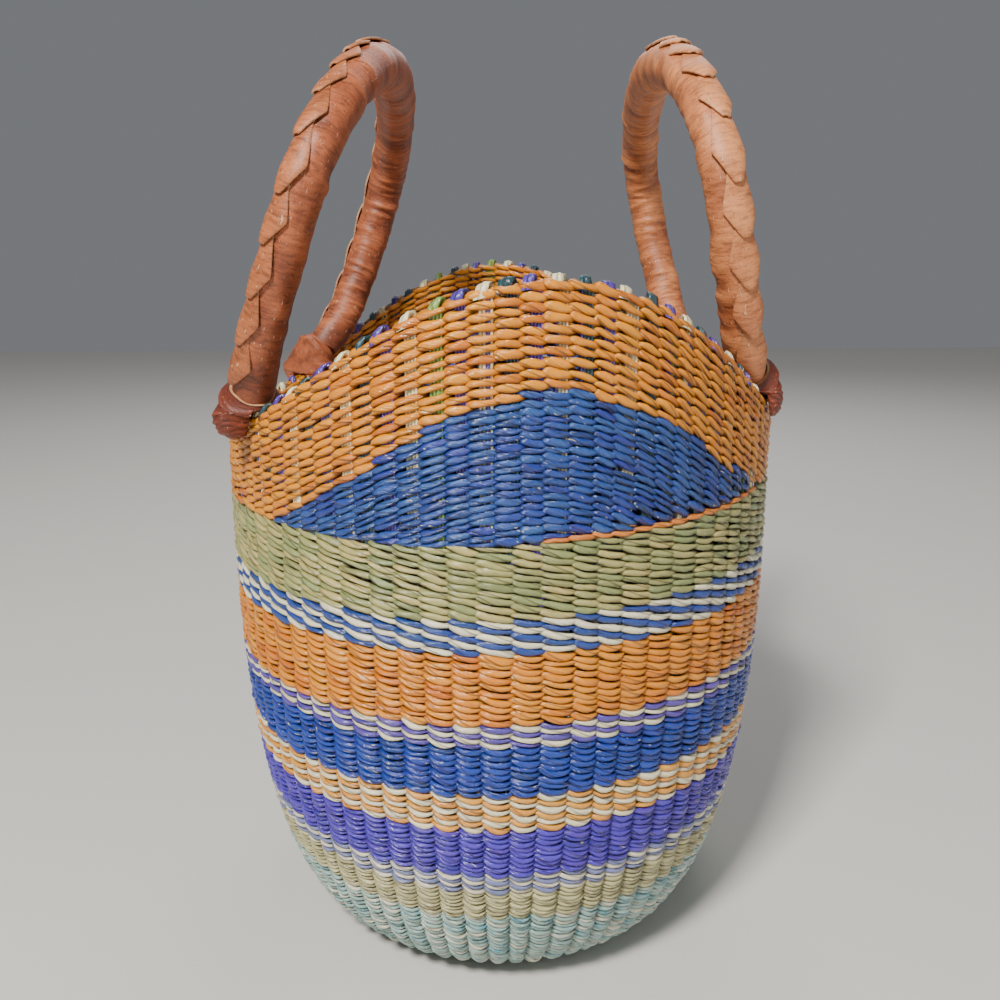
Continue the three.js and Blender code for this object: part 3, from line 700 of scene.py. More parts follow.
def short_row_edges(row, is_last):
    def edges(angle):
        foot = green_top(angle) + orange_row(angle)
        low = foot if is_last else np.maximum(short_row_line(row + 1, angle), foot)
        return run_at(low), run_at(np.maximum(short_row_line(row, angle), low + LEAST_HEIGHT))

    return edges


def orange_edges(angle):
    return run_at(green_top(angle)), run_at(green_top(angle) + orange_row(angle))


MOST_ROWS, LEAST_ROW = 42, 0.7  # a row is left out where less than this share of it fits
foot = green_top(column_middle) + orange_row(column_middle)
fits = [short_row_line(row + LEAST_ROW, column_middle) > foot for row in range(MOST_ROWS)]
row_counts = np.sum(fits, axis=0)
print("short rows: from", row_counts.min(), "at the sides to", row_counts.max(), "at the ends")

# %% Weave the wedges and the collar
COLLAR_SLANT, COLLAR_SLACK = 0.45, 0.12
is_near = np.cos(column_middle) > 0
collar = {}
for node_name in ("weft_gold", "wedge_near", "wedge_far"):
    collar[node_name] = [Stitches(collar_columns, sides, 0.0, COLLAR_SLANT) for sides in (10, 6)]
for row in range(row_counts.max()):
    middle = short_row_line(row + 0.5, column_middle)
    golden = middle > green_top(column_middle) + wedge_rise(column_middle)
    kinds = {"weft_gold": golden, "wedge_near": ~golden & is_near, "wedge_far": ~golden & ~is_near}
    for node_name, kind in kinds.items():
        for is_last in (False, True):
            in_row = (row_counts > row) & ((row_counts - 1 == row) == is_last)
            chosen = collar_columns.every[kind & in_row]
            edges = short_row_edges(row, is_last)
            collar[node_name][0].add_row(chosen, edges, 0, slack=COLLAR_SLACK)
            collar[node_name][1].add_row(chosen, edges, 0, inside=True)
chosen = collar_columns.every[orange_row(column_middle) > 0.5 * ORANGE_ROW]
collar["wedge_near"][0].add_row(chosen, orange_edges, 1)
navy_grass = grass("wedge_grass", "#20388f", "#ee8a30", "#3160a6", cracks=0.13, uneven=0.5)
gold_grass = grass("gold_grass", "#ee8c10", faded="#f6a010", cracks=0.08, uneven=0.38)
for node_name, (outer, inner) in collar.items():
    weave(node_name, outer, inner, gold_grass if node_name == "weft_gold" else navy_grass)

# %% [markdown]
# ## Mat
# The weaving starts flat on the ground. Fewer stakes cross there, and more are laid in as the mat
# grows, so the columns double three times on the way out.

# %% Rows of the mat
MAT_REACH, MAT_ROW = 78 * MM, 3.25 * MM
MAT_STEPS = [(0.62, 1), (0.34, 2), (0.16, 4), (0.0, 8)]  # from this share of the mat, columns each


def mat_edges(low):
    return lambda angle: (low, low + MAT_ROW)


outer, inner = Stitches(body_columns, 6, 0.6), Stitches(body_columns, 6, 0.6)
for row in range(int(MAT_REACH / MAT_ROW)):
    share = 1 - (row + 0.5) * MAT_ROW / MAT_SPAN
    step = next(columns for least, columns in MAT_STEPS if share > least)
    edges = mat_edges(-(row + 1) * MAT_ROW)
    chosen = body_columns.every[::step]
    strand = (chosen // step + row) % 2 * (row % 6 < 2)  # two rows in six have teal in them
    outer.add_row(chosen, edges, strand, step=step)
    inner.add_row(chosen, edges, strand, step=step, inside=True)
mat_grass = grass("mat_grass", "#cdbb84", "#5ba0a0", cracks=0.05)
weave("base_mat", outer, inner, mat_grass, ("_under", "_over"))

# %% [markdown]
# ## Stakes
# Each stake is a row of four grass stems, mostly dyed alike: purple, straw and teal in turn. They
# show as small coloured bars between the loose rows of the collar. In the body the rows are tight
# and only dark glimpses of them are left. Stems could be tubes of their own, but they always lie
# side by side, so one outline with four swellings draws a whole stake.

# %% Bundles of the stakes
STAKE_DYES = ["#5a45a6", "#f6ecbc", "#2c5058", "#86a84c"]
STEMS, BULGE = 4, [0.72, 0.93, 1.0, 0.93, 0.72]
STAKE_RINGS, STAKE_SPREAD = 40, 0.28
GRAIN = 12 * MM  # the length over which the fibres' pattern runs once
dyes = np.array([dye(code) for code in STAKE_DYES])
stake_grass = grass("stake_grass", "#e8dfb8", cracks=0.0, attribute="stake_dye")
side_points = STEMS * len(BULGE)
across_bundle = (np.arange(side_points) + 0.5) / side_points * 2 - 1
ridge = np.tile(BULGE, STEMS)
stem_number = np.repeat(np.arange(STEMS), len(BULGE))
section_side = np.concatenate([across_bundle, across_bundle[::-1]]) * STAKE_SPREAD
section_out = np.concatenate([ridge, -ridge[::-1]])
section_stem = np.concatenate([stem_number, stem_number[::-1]])


def stake_bundles(name, columns, low, tops, thick, shade, chosen_dyes):
    """One bundle of stems in each column, from the run low up to its own top."""
    shape = (columns.count, STAKE_RINGS, len(section_side))
    points, colours, places = (np.zeros((*shape, size)) for size in (3, 4, 3))
    for k in columns.every:
        run = low + (tops[k] - low) * np.linspace(0, 1, STAKE_RINGS)
        left, right = columns.groove(k, run), columns.groove(k + 1, run)
        angle = (left + right)[:, None] / 2 + section_side * (right - left)[:, None]
        points[k] = wall_point(angle, run[:, None], WALL / 2 - thick * section_out)
        colours[k] = dyes[chosen_dyes[k, section_stem]] * shade
        stem = section_stem / STEMS
        places[k] = spread_over(shape[1:], run[:, None] / GRAIN, stem, (k + stem) / columns.count)
    return tubes_object(name, points, stake_grass, stake_dye=colours, strand_place=places)


print("points round a stake:", len(section_side))

# %% Stakes of the collar and of the body
GREEN_STAKES, ODD_STEMS = 0.12, 0.15  # shares of the stakes, and of the stems
HIDDEN_SHADE = 0.12  # the body's stakes lie in the shadow of the weft
in_turn = (collar_columns.every + 1) % 3
stake_colours = np.where(chance.random(collar_columns.count) < GREEN_STAKES, 3, in_turn)
is_odd = chance.random((collar_columns.count, STEMS)) < ODD_STEMS
any_colour = chance.integers(0, len(STAKE_DYES), (collar_columns.count, STEMS))
stem_colours = np.where(is_odd, any_colour, stake_colours[:, None])
low, tops = run_at(BANDS_TOP - 4 * MM), run_at(rim_height(column_middle) - 2.5 * MM)
collar_stakes = stake_bundles("collar_stakes", collar_columns, low, tops, 2.3 * MM, 1.0, stem_colours)
any_colour = chance.integers(0, len(STAKE_DYES), (body_columns.count, STEMS))
tops = run_at(row_height(body_columns.middle, BANDS_TOP))
body_stakes = stake_bundles("body_stakes", body_columns, 0, tops, 1.6 * MM, HIDDEN_SHADE, any_colour)
print("green stakes in the collar:", np.sum(stake_colours == 3))

# %% Hand the woven pieces to the basket
for piece, node_name in woven:
    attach(piece, "basket")
    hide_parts(node_name)
for stakes in (body_stakes, collar_stakes):
    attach(stakes, "basket")
print("woven pieces:", len(woven))

# %% [markdown]
# ## Rim
# At the rim each stake is folded over the last rows and pushed down inside. What shows is a
# small loop in the stake's own colour between two golden stitches. The last golden rows are twined
# like the others, and one more lies on top of the wall and hides the cut ends. So the rope is made
# of stitches like every other row, and a loop is half a turn of a flat ribbed tube over the wall.

# %% Rope of the rim
TOP_THICK, TOP_SINK = 2.2 * MM, np.linspace(3.2, 4.8, len(ALONG)) * MM


def rim_edges(low, high):
    """Edges of a row of the rim, in mm from the top of the wall."""

    def edges(angle):
        top = run_at(rim_height(angle))
        return top + low * MM, top + high * MM

    return edges


rope = Stitches(collar_columns, 10, 0.0, COLLAR_SLANT)
rope.add_row(collar_columns.every, rim_edges(-5.0, -1.0), 0)
rope.add_row(collar_columns.every, rim_edges(-5.0, -1.2), 0, inside=True)
rope.add_row(collar_columns.every, rim_edges(-4.4, -0.9), 0, sink=TOP_SINK, thick=TOP_THICK)
rim_rope = rope.mesh_object("rim_rope", gold_grass)

# %% Folded ends of the stakes
LOOP_STEPS, LOOP_SIDES, LOOP_RIBS = 12, 12, 6
LOOP_REACH, LOOP_THICK, LOOP_FOOT = 2.3 * MM, 1.0 * MM, 4.0 * MM
LOOP_OUTSET, LOOP_LEAN = 0.4 * MM, math.radians(1.4)
COLLAR_RUN, MEAN_RADIUS = 0.3, 0.15
sweep = np.linspace(0, math.pi, LOOP_STEPS)[:, None]
around = turns_of(LOOP_SIDES)
ribs = 1 + 0.12 * np.cos(LOOP_RIBS * around)
reach = LOOP_REACH + LOOP_THICK * np.cos(around) * ribs
depth = WALL / 2 - LOOP_OUTSET - reach * np.cos(sweep)
shape = (collar_columns.count, LOOP_STEPS, LOOP_SIDES)
points, lucks = np.zeros((*shape, 3)), np.zeros(collar_columns.count)
for k in collar_columns.every:
    start = collar_columns.groove(k, COLLAR_RUN) + math.radians(chance.normal(0.6, 0.4))
    rise, wide = chance.normal(4.9, 0.4) * MM, chance.normal(2.5, 0.3) * MM
    angle = start + wide * ribs * np.sin(around) / MEAN_RADIUS + LOOP_LEAN * sweep / math.pi
    foot = run_at(rim_height(angle)) - LOOP_FOOT
    points[k] = wall_point(angle, foot + (rise - LOOP_REACH + reach) * np.sin(sweep), depth)
    lucks[k] = chance.random()
places = spread_over(shape, sweep / 3, around / (2 * math.pi), lucks[:, None, None])
colours = np.broadcast_to(dyes[stake_colours][:, None, None], (*shape, 4))
rim_loops = tubes_object("rim_loops", points, stake_grass, stake_dye=colours, strand_place=places)
for piece in (rim_rope, rim_loops):
    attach(piece, "basket")
    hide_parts("rim_border")
print("folded stake ends:", collar_columns.count)

# %% [markdown]
# ## Where the handles run
# A handle is a loop in a leaning plane: two legs that swell outwards to the shoulders and a
# flatter crown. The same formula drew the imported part. A curve object could run along it, but the
# pieces need to know where they are. So the line is kept as points, three for each millimetre,
# each with the way out from the loop's middle. Everything on the handle is placed by distance
# along, turn round the leg, and radius.

# %% Feet of the handles
# Millimetres and degrees. near and far: how far a foot stands out from the wall, and its leg's bend.
HANDLES = {
    "left": dict(
        side=-1, spread=92, height=157, shoulder=90, half_width=116, tilt=19,
        near=(2, 0), far=(-6, 10), seam_turn=50,
    ),
    "right": dict(
        side=1, spread=84, height=149, shoulder=86, half_width=114, tilt=12,
        near=(-5, 5), far=(0, 0), seam_turn=18,
    ),
}
MID_WIDTH, MID_LENGTH = HALF_WIDTH - WALL / 2, HALF_LENGTH - WALL / 2
CORE_RADIUS, GRIP_RADIUS = 7.4 * MM, 10.6 * MM
LEG_RADIUS, NEAR_LEG_RADIUS, NEAR_LEG_SHARE = 9.9 * MM, 8.9 * MM, 0.2
CORE_SLACK, SEAT_GAP, BEND_START = 0.3 * MM, 1 * MM, 16 * MM
TURN_STEP = 0.001  # the rim's climb is taken over this turn either way


def foot_of(shape, end):
    outset = (shape["near"] if end < 0 else shape["far"])[0] * MM
    y = end * shape["spread"] * MM
    x = shape["side"] * MID_WIDTH * math.sqrt(1 - (y / MID_LENGTH) ** 2)
    angle = math.atan2(x / MID_WIDTH, -y / MID_LENGTH)
    along = Vector((MID_WIDTH * math.cos(angle), MID_LENGTH * math.sin(angle), 0))
    rise = rim_height(angle + TURN_STEP) - rim_height(angle - TURN_STEP)
    climb = rise / (2 * TURN_STEP * along.length)
    along.normalize()
    outward = Vector((along.y, -along.x, 0))
    seat = (CORE_RADIUS + CORE_SLACK) * math.hypot(1, climb) + SEAT_GAP
    pivot = Vector((x, y, float(rim_height(angle)) + seat)) + outward * outset
    return dict(pivot=pivot, along=along, outward=outward, climb=climb, seat=seat, outset=outset)


print("feet of the left handle:", [tuple(foot_of(HANDLES["left"], end)["pivot"]) for end in (-1, 1)])

# %% Loops of the handles
# The second number is the distance over which the leather darkens towards the feet.
LOOP_POINTS, FOOT_DARKENING_OVER = 1500, 70 * MM


def eased(share):
    """From 0 to 1 with a soft start and end."""
    return share * share * (3 - 2 * share)


class Loop:
    """The line of a handle, with what is needed to place things round it."""

    def __init__(self, shape):
        self.shape = shape
        self.near, self.far = foot_of(shape, -1), foot_of(shape, 1)
        a, b = self.near["pivot"], self.far["pivot"]
        side, width = shape["side"], shape["half_width"] * MM
        shoulder = shape["shoulder"] * MM
        dip = math.acos((b - a).length / 2 / width)
        t = np.linspace(0, 1, LOOP_POINTS)
        angle = -dip + (math.pi + 2 * dip) * t
        reach = np.where(np.sin(angle) < 0, shoulder / math.sin(dip), shape["height"] * MM - shoulder)
        height = np.maximum(shoulder + reach * np.sin(angle), 0)
        bend = (shape["near"][1] + (shape["far"][1] - shape["near"][1]) * eased(t)) * MM
        inward = bend * (1 - np.exp(-height / BEND_START))
        line = np.stack([-side * inward, -width * np.cos(angle), height], -1)
        tangent = np.gradient(line, axis=0)
        tangent /= np.linalg.norm(tangent, axis=1)[:, None]
        outward = np.cross(np.array([1.0, 0, 0]), tangent)
        turn = Vector((0, 1, 0)).rotation_difference((b - a).normalized()).to_matrix()
        matrix = np.array(turn @ Matrix.Rotation(-side * math.radians(shape["tilt"]), 3, "Y"))
        self.line = line @ matrix.T + np.array((a + b) / 2)
        self.outward = outward @ matrix.T
        self.across = matrix[:, 0]
        steps = np.linalg.norm(np.diff(self.line, axis=0), axis=1)
        self.distance = np.concatenate([[0], np.cumsum(steps)])
        self.length = self.distance[-1]
        for foot, way in ((self.near, tangent[0]), (self.far, -tangent[-1])):
            foot["rise"] = Vector(matrix @ way)
            foot["rise_along"] = foot["rise"].cross(foot["outward"]).normalized()
            foot["rise_across"] = foot["rise_along"].cross(foot["rise"])

    def at(self, values, distance):
        return np.stack([np.interp(distance, self.distance, values[:, k]) for k in range(3)], -1)

    def point(self, distance, turn, radius):
        """Points at a distance along the line, a turn round it and a radius from it."""
        out = self.at(self.outward, distance)
        sideways = np.cos(turn)[..., None] * out + np.sin(turn)[..., None] * self.across
        return self.at(self.line, distance) + radius[..., None] * sideways

    def sleeve_radius(self, distance):
        share = distance / self.length
        near = eased(np.clip((share - NEAR_LEG_SHARE) / (0.5 - NEAR_LEG_SHARE), 0, 1))
        far = eased(np.clip((share - 0.5) / 0.5, 0, 1))
        return NEAR_LEG_RADIUS + (GRIP_RADIUS - NEAR_LEG_RADIUS) * near + (LEG_RADIUS - GRIP_RADIUS) * far

    def away_from_feet(self, distance):
        """0 at the feet and near 1 at the crown: the leather is darker towards the feet."""
        return 1 - np.exp(-np.minimum(distance, self.length - distance) / FOOT_DARKENING_OVER)


loops = {name: Loop(shape) for name, shape in HANDLES.items()}
print({name: round(loop.length / MM) for name, loop in loops.items()}, "mm along the handles")

# %% [markdown]
# ## Leather
# The hide is thin goatskin, tanned reddish brown and worn shiny on the grip. It shows fine creases
# across the leg, specks where hair grew, and pale straight edges where a knife cut it. As with the
# grass, the pattern follows the piece: each point carries its place on the hide, and a share that
# turns the hide from its dark colour to its pale one. The share is high on raised parts, partly as
# wear and partly as a painted highlight. It is low in the hollows, as painted shade, and lower
# towards the feet, so the leather is darker there.

# %% Node group for leather
hide_group, given, result = finish_group(
    "hide_grain", {"Hide": dye("#b3683f"), "Worn_and_Lit": dye("#d99a6c")}, {"Creases": 1.0}
)
t = hide_group
place = carried(t, "hide_place", "Vector")
fold = carried(t, "fold")
creases = noise(t, scaled(t, place, (1.0, 0.22, 1.0)), 620.0, 3.0, 0.6, 0.4)
pores = noise(t, place, 1500.0, 2.0, 0.6)
patches = noise(t, scaled(t, place, (1.0, 0.7, 1.0)), 55.0, 3.0)
hairs = noise(t, scaled(t, place, (0.35, 1.0, 1.0)), 900.0, 1.0, 0.4)
hairs = maths(t, "MULTIPLY", maths(t, "SUBTRACT", hairs, 0.685), 14.0, clamp=True)
# fold turns the hide paler: wear and painted highlight on raised parts, painted shade in the hollows.
raised = maths(t, "MULTIPLY_ADD", fold, 0.55, 0.28)
shade = maths(t, "ADD", raised, maths(t, "MULTIPLY_ADD", patches, 0.9, -0.45))
shade = maths(t, "ADD", shade, maths(t, "MULTIPLY_ADD", creases, 0.7, -0.35), clamp=True)
colour = mix(t, shade, given["Hide"], given["Worn_and_Lit"])
depths = maths(t, "MULTIPLY_ADD", creases, 0.6, maths(t, "MULTIPLY", pores, 0.4))
colour = mix(t, 0.8, colour, ramp(t, depths, [(0.36, 0.5), (0.52, 1.0)]), "MULTIPLY")
colour = mix(t, maths(t, "MULTIPLY", hairs, 0.55), colour, dye("#e9c39c"))
rough = maths(t, "MULTIPLY_ADD", creases, 0.3, maths(t, "MULTIPLY_ADD", patches, 0.25, 0.2))
height = maths(t, "MULTIPLY", creases, given["Creases"])
height = maths(t, "ADD", height, maths(t, "MULTIPLY", pores, 0.35))
height = maths(t, "ADD", height, maths(t, "MULTIPLY", hairs, 0.5))
put_out(t, result, Colour=colour, Roughness=rough, Height=height)
print("nodes in the leather group:", len(t.nodes))

# %% Leathers
LEATHER_RELIEF, LEATHER_SHINE = 0.7, 0.5


def leather(name, hide, worn_and_lit, creases=1.0):
    values = {"Hide": dye(hide), "Worn_and_Lit": dye(worn_and_lit), "Creases": creases}
    return dressed(bare_material(name), hide_group, values, LEATHER_RELIEF, LEATHER_SHINE)


# The right handle's sleeve and flaps are given lighter leather than the left handle's.
sleeve_leather = {
    "left": leather("left_hide", "#5c2718", "#c06a40"),
    "right": leather("right_hide", "#8c4629", "#e28f58"),
}
flap_leather = {
    "left": leather("left_flap_hide", "#6c311d", "#cd7a48", creases=0.6),
    "right": leather("right_flap_hide", "#a25632", "#e89a62", creases=0.6),
}
cuff_leather = leather("cuff_leather", "#45190f", "#8a4028", creases=1.2)
cut_leather = leather("cut_leather", "#a8734e", "#d4a87c", creases=0.5)
print("materials:", len(bpy.data.materials))

# %% [markdown]
# ## Core and sleeve
# A bundle of straw gives the handle its stiffness, and the sleeve is pulled tight over it. Wet
# leather shrinks as it dries, which leaves ridges across the leg, most of them on the inner side
# of a bend. A bump map alone would leave the outline smooth, so the larger ridges are real: over
# three hundred are drawn at random, each on its own part of the leg's circumference.

# %% Straw cores
CORE_RINGS, CORE_SIDES, CORE_ROUNDING = 140, 32, 3 * MM
straw_grass = grass("straw_grass", "#d8c38a", cracks=0.02, uneven=0.35)


def straw_core(name, loop):
    distance = np.linspace(0, loop.length, CORE_RINGS)
    side = np.arange(CORE_SIDES)
    stems = CORE_RADIUS * (1 - 0.05 * (side % 2))
    ends = np.minimum(distance, loop.length - distance)
    close = np.sqrt(np.clip(ends / CORE_ROUNDING, 0.02, 1))
    points = loop.point(distance[:, None], turns_of(CORE_SIDES), close[:, None] * stems)
    luck = side // 2 * 0.37 % 1  # two neighbouring sides are one stem
    shape = (CORE_RINGS, CORE_SIDES)
    places = spread_over(shape, (distance / GRAIN)[:, None], side / CORE_SIDES, luck)
    return tubes_object(name + "_straw", points[None], straw_grass, strand_place=places)


print("points of a core:", CORE_RINGS * CORE_SIDES)

# %% Wrinkled sleeves
SLEEVE_START, SLEEVE_RINGS, SLEEVE_SIDES = 3 * MM, 460, 56
RIDGES, WAVES, LUMPS = 330, 9, 60
BORE = CORE_RADIUS + 0.4 * MM


def hill(away):
    """A smooth hill, 1 high in its middle."""
    return np.exp(-(away**2))


def wrinkles(loop, distance, turns):
    """Height of the ridges and hollows over the sleeve."""
    height = np.zeros((len(distance), len(turns)))
    for _ in range(RIDGES):
        middle = chance.uniform(0, loop.length)
        near = middle < 0.42 * loop.length
        centre = chance.uniform(-math.pi, math.pi)
        inner = 0.5 - 0.5 * math.cos(centre)
        width = chance.uniform(0.9, 2.4) * (1.7 if near else 0.9) * MM
        tilt = chance.normal(0, 1.6) * MM
        spread = chance.uniform(0.3, 0.9) if near else chance.uniform(0.7, 2.0)
        away = half_turn(turns - centre)
        along = (distance[:, None] - middle - tilt * np.sin(away)) / width
        size = chance.uniform(0.15, 0.5) * MM * (0.45 + 0.75 * inner)
        height += size * hill(away / spread) * (hill(along) - 0.55 * hill(along - 1.5))
    for wave in range(WAVES):
        period = chance.uniform(18, 60) * MM
        lump = np.sin(distance / period * 2 * math.pi + chance.uniform(0, 7))
        height += 0.16 * MM * lump[:, None] * np.cos(turns * (wave % 3) + chance.uniform(0, 7))
    for _ in range(LUMPS):
        middle, centre = chance.uniform(0, 0.45 * loop.length), chance.uniform(-math.pi, math.pi)
        along = (distance - middle) / (chance.uniform(2.5, 5) * MM)
        across = half_turn(turns - centre) / chance.uniform(0.25, 0.5)
        height += chance.uniform(0.2, 0.55) * MM * hill(along)[:, None] * hill(across)
    return height


for name, loop in loops.items():
    straw = straw_core(name + "_core", loop)
    distance = np.linspace(SLEEVE_START, loop.length - SLEEVE_START, SLEEVE_RINGS)
    turns = turns_of(SLEEVE_SIDES)
    height = wrinkles(loop, distance, turns)
    bore = np.full((1, SLEEVE_SIDES), BORE)
    rings = np.concatenate([bore, loop.sleeve_radius(distance)[:, None] + height, bore])
    stops = np.concatenate([distance[:1], distance, distance[-1:]])
    places = spread_over(rings.shape, stops[:, None], GRIP_RADIUS * np.abs(half_turn(turns)), 0)
    folds = np.full_like(rings, 0.5)
    # Paler on the ridges, partly wear and partly painted highlight, darker in the hollows as painted shade,
    # and darker towards the feet.
    folds[1:-1] = np.clip(0.05 + 0.55 * loop.away_from_feet(distance)[:, None] + height / (0.8 * MM), 0, 1)
    points = loop.point(stops[:, None], turns, rings)[None]
    sleeve = tubes_object(
        name + "_leather_sleeve", points, sleeve_leather[name], hide_place=places, fold=folds
    )
    pairs = ((straw, "_core", "straw"), (sleeve, "_sleeve", "leather"))
    for piece, replaced, finish in pairs:
        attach(piece, name + "_handle")
        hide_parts(name + replaced)
    print("%s sleeve: ridges up to %.1f mm high" % (name, height.max() / MM))

# %% [markdown]
# ## Laced seam
# The sleeve is closed by a row of flaps. Each is a leaf with a corner on each side. Its far end is
# cut and stands a little proud, over the start of the next one. A flap is a small sheet, bent
# round the leg, and the Solidify modifier gives it thickness with a second material on its cut
# edges, which is where the pale core of the leather shows.

# %% Sheets of leather
def cut_from_hide(sheet, thickness, pared, even=False):
    """Gives a sheet its thickness and pale pared edges, as part of its mesh."""
    sheet.data.materials.append(cut_leather)
    thick = sheet.modifiers.new("leather thickness", "SOLIDIFY")
    thick.thickness = thickness
    thick.offset = 0
    thick.material_offset_rim = 1
    thick.use_even_offset = even
    rounded = sheet.modifiers.new("pared edges", "BEVEL")
    rounded.width = pared
    rounded.segments = 2
    rounded.limit_method = "ANGLE"
    graph = bpy.context.evaluated_depsgraph_get()
    mesh = bpy.data.meshes.new_from_object(sheet.evaluated_get(graph))
    sheet.modifiers.clear()
    sheet.data = mesh
    mesh.shade_smooth()
    return sheet


FLAP_PITCH, FLAP_START, FLAP_OVERLAP, FLAP_MARGIN = 21 * MM, 13 * MM, 0.2, 8 * MM
FLAP_ALONG = np.array([0, 0.14, 0.28, 0.42, 0.52, 0.6, 0.635, 0.71, 0.81, 0.91, 1])
FLAP_WIDTH = np.array([3.2, 4.2, 5.5, 6.9, 7.9, 8.6, 8.7, 7.4, 5.6, 3.8, 1.9]) * MM
FLAP_LIFT = np.array([0.5, 0.6, 0.8, 1.1, 1.4, 1.7, 1.9, 2.1, 2.3, 2.5, 2.6]) * MM
FLAP_ACROSS = np.linspace(-1, 1, 11)
print("a flap is a sheet of %d by %d points" % (len(FLAP_ALONG), len(FLAP_ACROSS)))

# %% Flaps
def laced_seam(name, loop, finish):
    reach = loop.length - 2 * FLAP_START
    count = round(reach / FLAP_PITCH)
    pitch = reach / count
    seam = loop.shape["side"] * math.radians(loop.shape["seam_turn"])
    points, places, folds = [], [], []
    for k in range(count):
        start = loop.length - FLAP_START - (k - FLAP_OVERLAP) * pitch
        length = pitch * (1.38 + chance.normal(0, 0.03))
        lean = chance.normal(0, 0.05)
        distance = np.clip(start - FLAP_ALONG * length, FLAP_MARGIN, loop.length - FLAP_MARGIN)
        size = FLAP_WIDTH * (1 + chance.normal(0, 0.05))
        across = FLAP_ACROSS * size[:, None]
        lift = FLAP_LIFT[:, None] * (1 - 0.3 * FLAP_ACROSS**2)
        lift = lift + 0.25 * MM * np.sin(3 * FLAP_ALONG + k)[:, None] * FLAP_ACROSS
        radius = loop.sleeve_radius(distance)[:, None] + lift
        turn = seam + lean + across / radius
        points.append(loop.point(distance[:, None], turn, radius))
        places.append(spread_over(turn.shape, distance[:, None], across, k * 0.013))
        # Paler towards the flap's proud end, partly wear and partly painted highlight, and darker towards
        # the feet.
        raised = 0.05 + 0.5 * loop.away_from_feet(distance) + 0.3 * FLAP_ALONG
        folds.append(raised[:, None] + 0 * across)
    row, column = np.mgrid[0 : len(FLAP_ALONG) - 1, 0 : len(FLAP_ACROSS) - 1]
    corner = row * len(FLAP_ACROSS) + column
    above = corner + len(FLAP_ACROSS)
    sheet = np.stack([corner, corner + 1, above + 1, above], -1).reshape(-1, 4)
    quads = repeated(sheet, count, len(FLAP_ALONG) * len(FLAP_ACROSS))
    points, places, folds = np.array(points), np.array(places), np.array(folds)
    flaps = smooth_object(name, points, quads, finish, hide_place=places, fold=folds)
    print(name, count, "flaps")
    return cut_from_hide(flaps, 1.0 * MM, 0.28 * MM, even=True)


for name, loop in loops.items():
    seam = laced_seam(name + "_laced_seam", loop, flap_leather[name])
    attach(seam, name + "_handle")
    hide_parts(name + "_plait")

# %% [markdown]
# ## Cuffs
# A leather band holds each foot to the rim: round the leg, down both faces of the wall, and
# through a slot in the weave. It is one sheet here, ring by ring from the leg down, pressed flat
# on the wall lower down, with the folds that pulling it tight has left.

# %% Form of a cuff
CUFF_SIDES, CUFF_RINGS, CUFF_SMOOTHING = 72, 64, 3
CUFF_MIDDLE, CUFF_NECK = 13.2 * MM, 0.6 * MM
CUFF_TOP, CUFF_DROP = 4 * MM, 18.5 * MM
CUFF_FLARE = {"left": 0.24, "right": -0.25}
# Rings round the leg: share of the way down, share of the height above the foot, snugness.
CUFF_NECKS = [(0.0, 1.0, 1.0), (0.05, 0.75, 1.04), (0.14, 0.35, 0.75), (0.26, -0.3, 0.2)]
# Rings over the wall: share of the way down, share of the drop, size across and along the wall.
CUFF_FLAPS = [(0.5, 0.42, 1.08, 0.8), (0.8, 0.77, 0.95, 0.68), (1.0, 0.97, 0.6, 0.5)]
turns = turns_of(CUFF_SIDES)
share = np.linspace(0, 1, CUFF_RINGS)


def cuff_form(foot, leg, end, flare):
    """The cuff as a smooth sheet, before its folds."""
    keys = []
    for _, up, snug in CUFF_NECKS:
        radius = CUFF_MIDDLE + (leg + CUFF_NECK - CUFF_MIDDLE) * snug
        spokes = np.cos(turns)[:, None] * foot["rise_across"] + np.sin(turns)[:, None] * foot["rise_along"]
        ragged = 0.6 * MM * (np.sin(2 * turns + 1) + 0.5 * np.sin(5 * turns)) * up
        keys.append(foot["pivot"] + foot["rise"] * (CUFF_TOP * up + ragged[:, None]) + radius * spokes)
    to_end = np.maximum(np.sin(turns) * np.sign(foot["along"][1]) * end, 0)
    flared = 1 + flare * np.maximum(np.cos(turns), 0)
    for _, drop, share_across, share_along in CUFF_FLAPS:
        across = (CUFF_MIDDLE * share_across * flared + abs(foot["outset"]) / 2) * np.cos(turns)
        across = across - foot["outset"] / 2
        slide = CUFF_MIDDLE * share_along * np.sin(turns) * (1 - (0.3 + 0.4 * drop) * to_end)
        ring = foot["pivot"] + across[:, None] * foot["outward"] + slide[:, None] * foot["along"]
        ring[:, 2] += foot["climb"] * slide - CUFF_DROP * drop
        keys.append(ring)
    keys = np.array(keys)
    stops = [key[0] for key in CUFF_NECKS + CUFF_FLAPS]
    sheet = np.zeros((CUFF_RINGS, CUFF_SIDES, 3))
    for side, axis in np.ndindex(CUFF_SIDES, 3):
        sheet[:, side, axis] = np.interp(share, stops, keys[:, side, axis])
    for _ in range(CUFF_SMOOTHING):
        sheet[1:-1] = (sheet[:-2] + 2 * sheet[1:-1] + sheet[2:]) / 4
    return sheet


print("a cuff is shaped by", len(CUFF_NECKS + CUFF_FLAPS), "rings")

# %% Folds of a cuff, and the four cuffs
FOLD_LEVELS, FOLD_WIDTH, FOLD_SIZE = np.linspace(0.24, 0.9, 9), 0.028, 0.7 * MM
WALL_HALF, WALL_EDGE, OVER_RIM = 6.4 * MM, 1.2 * MM, 1.2 * MM


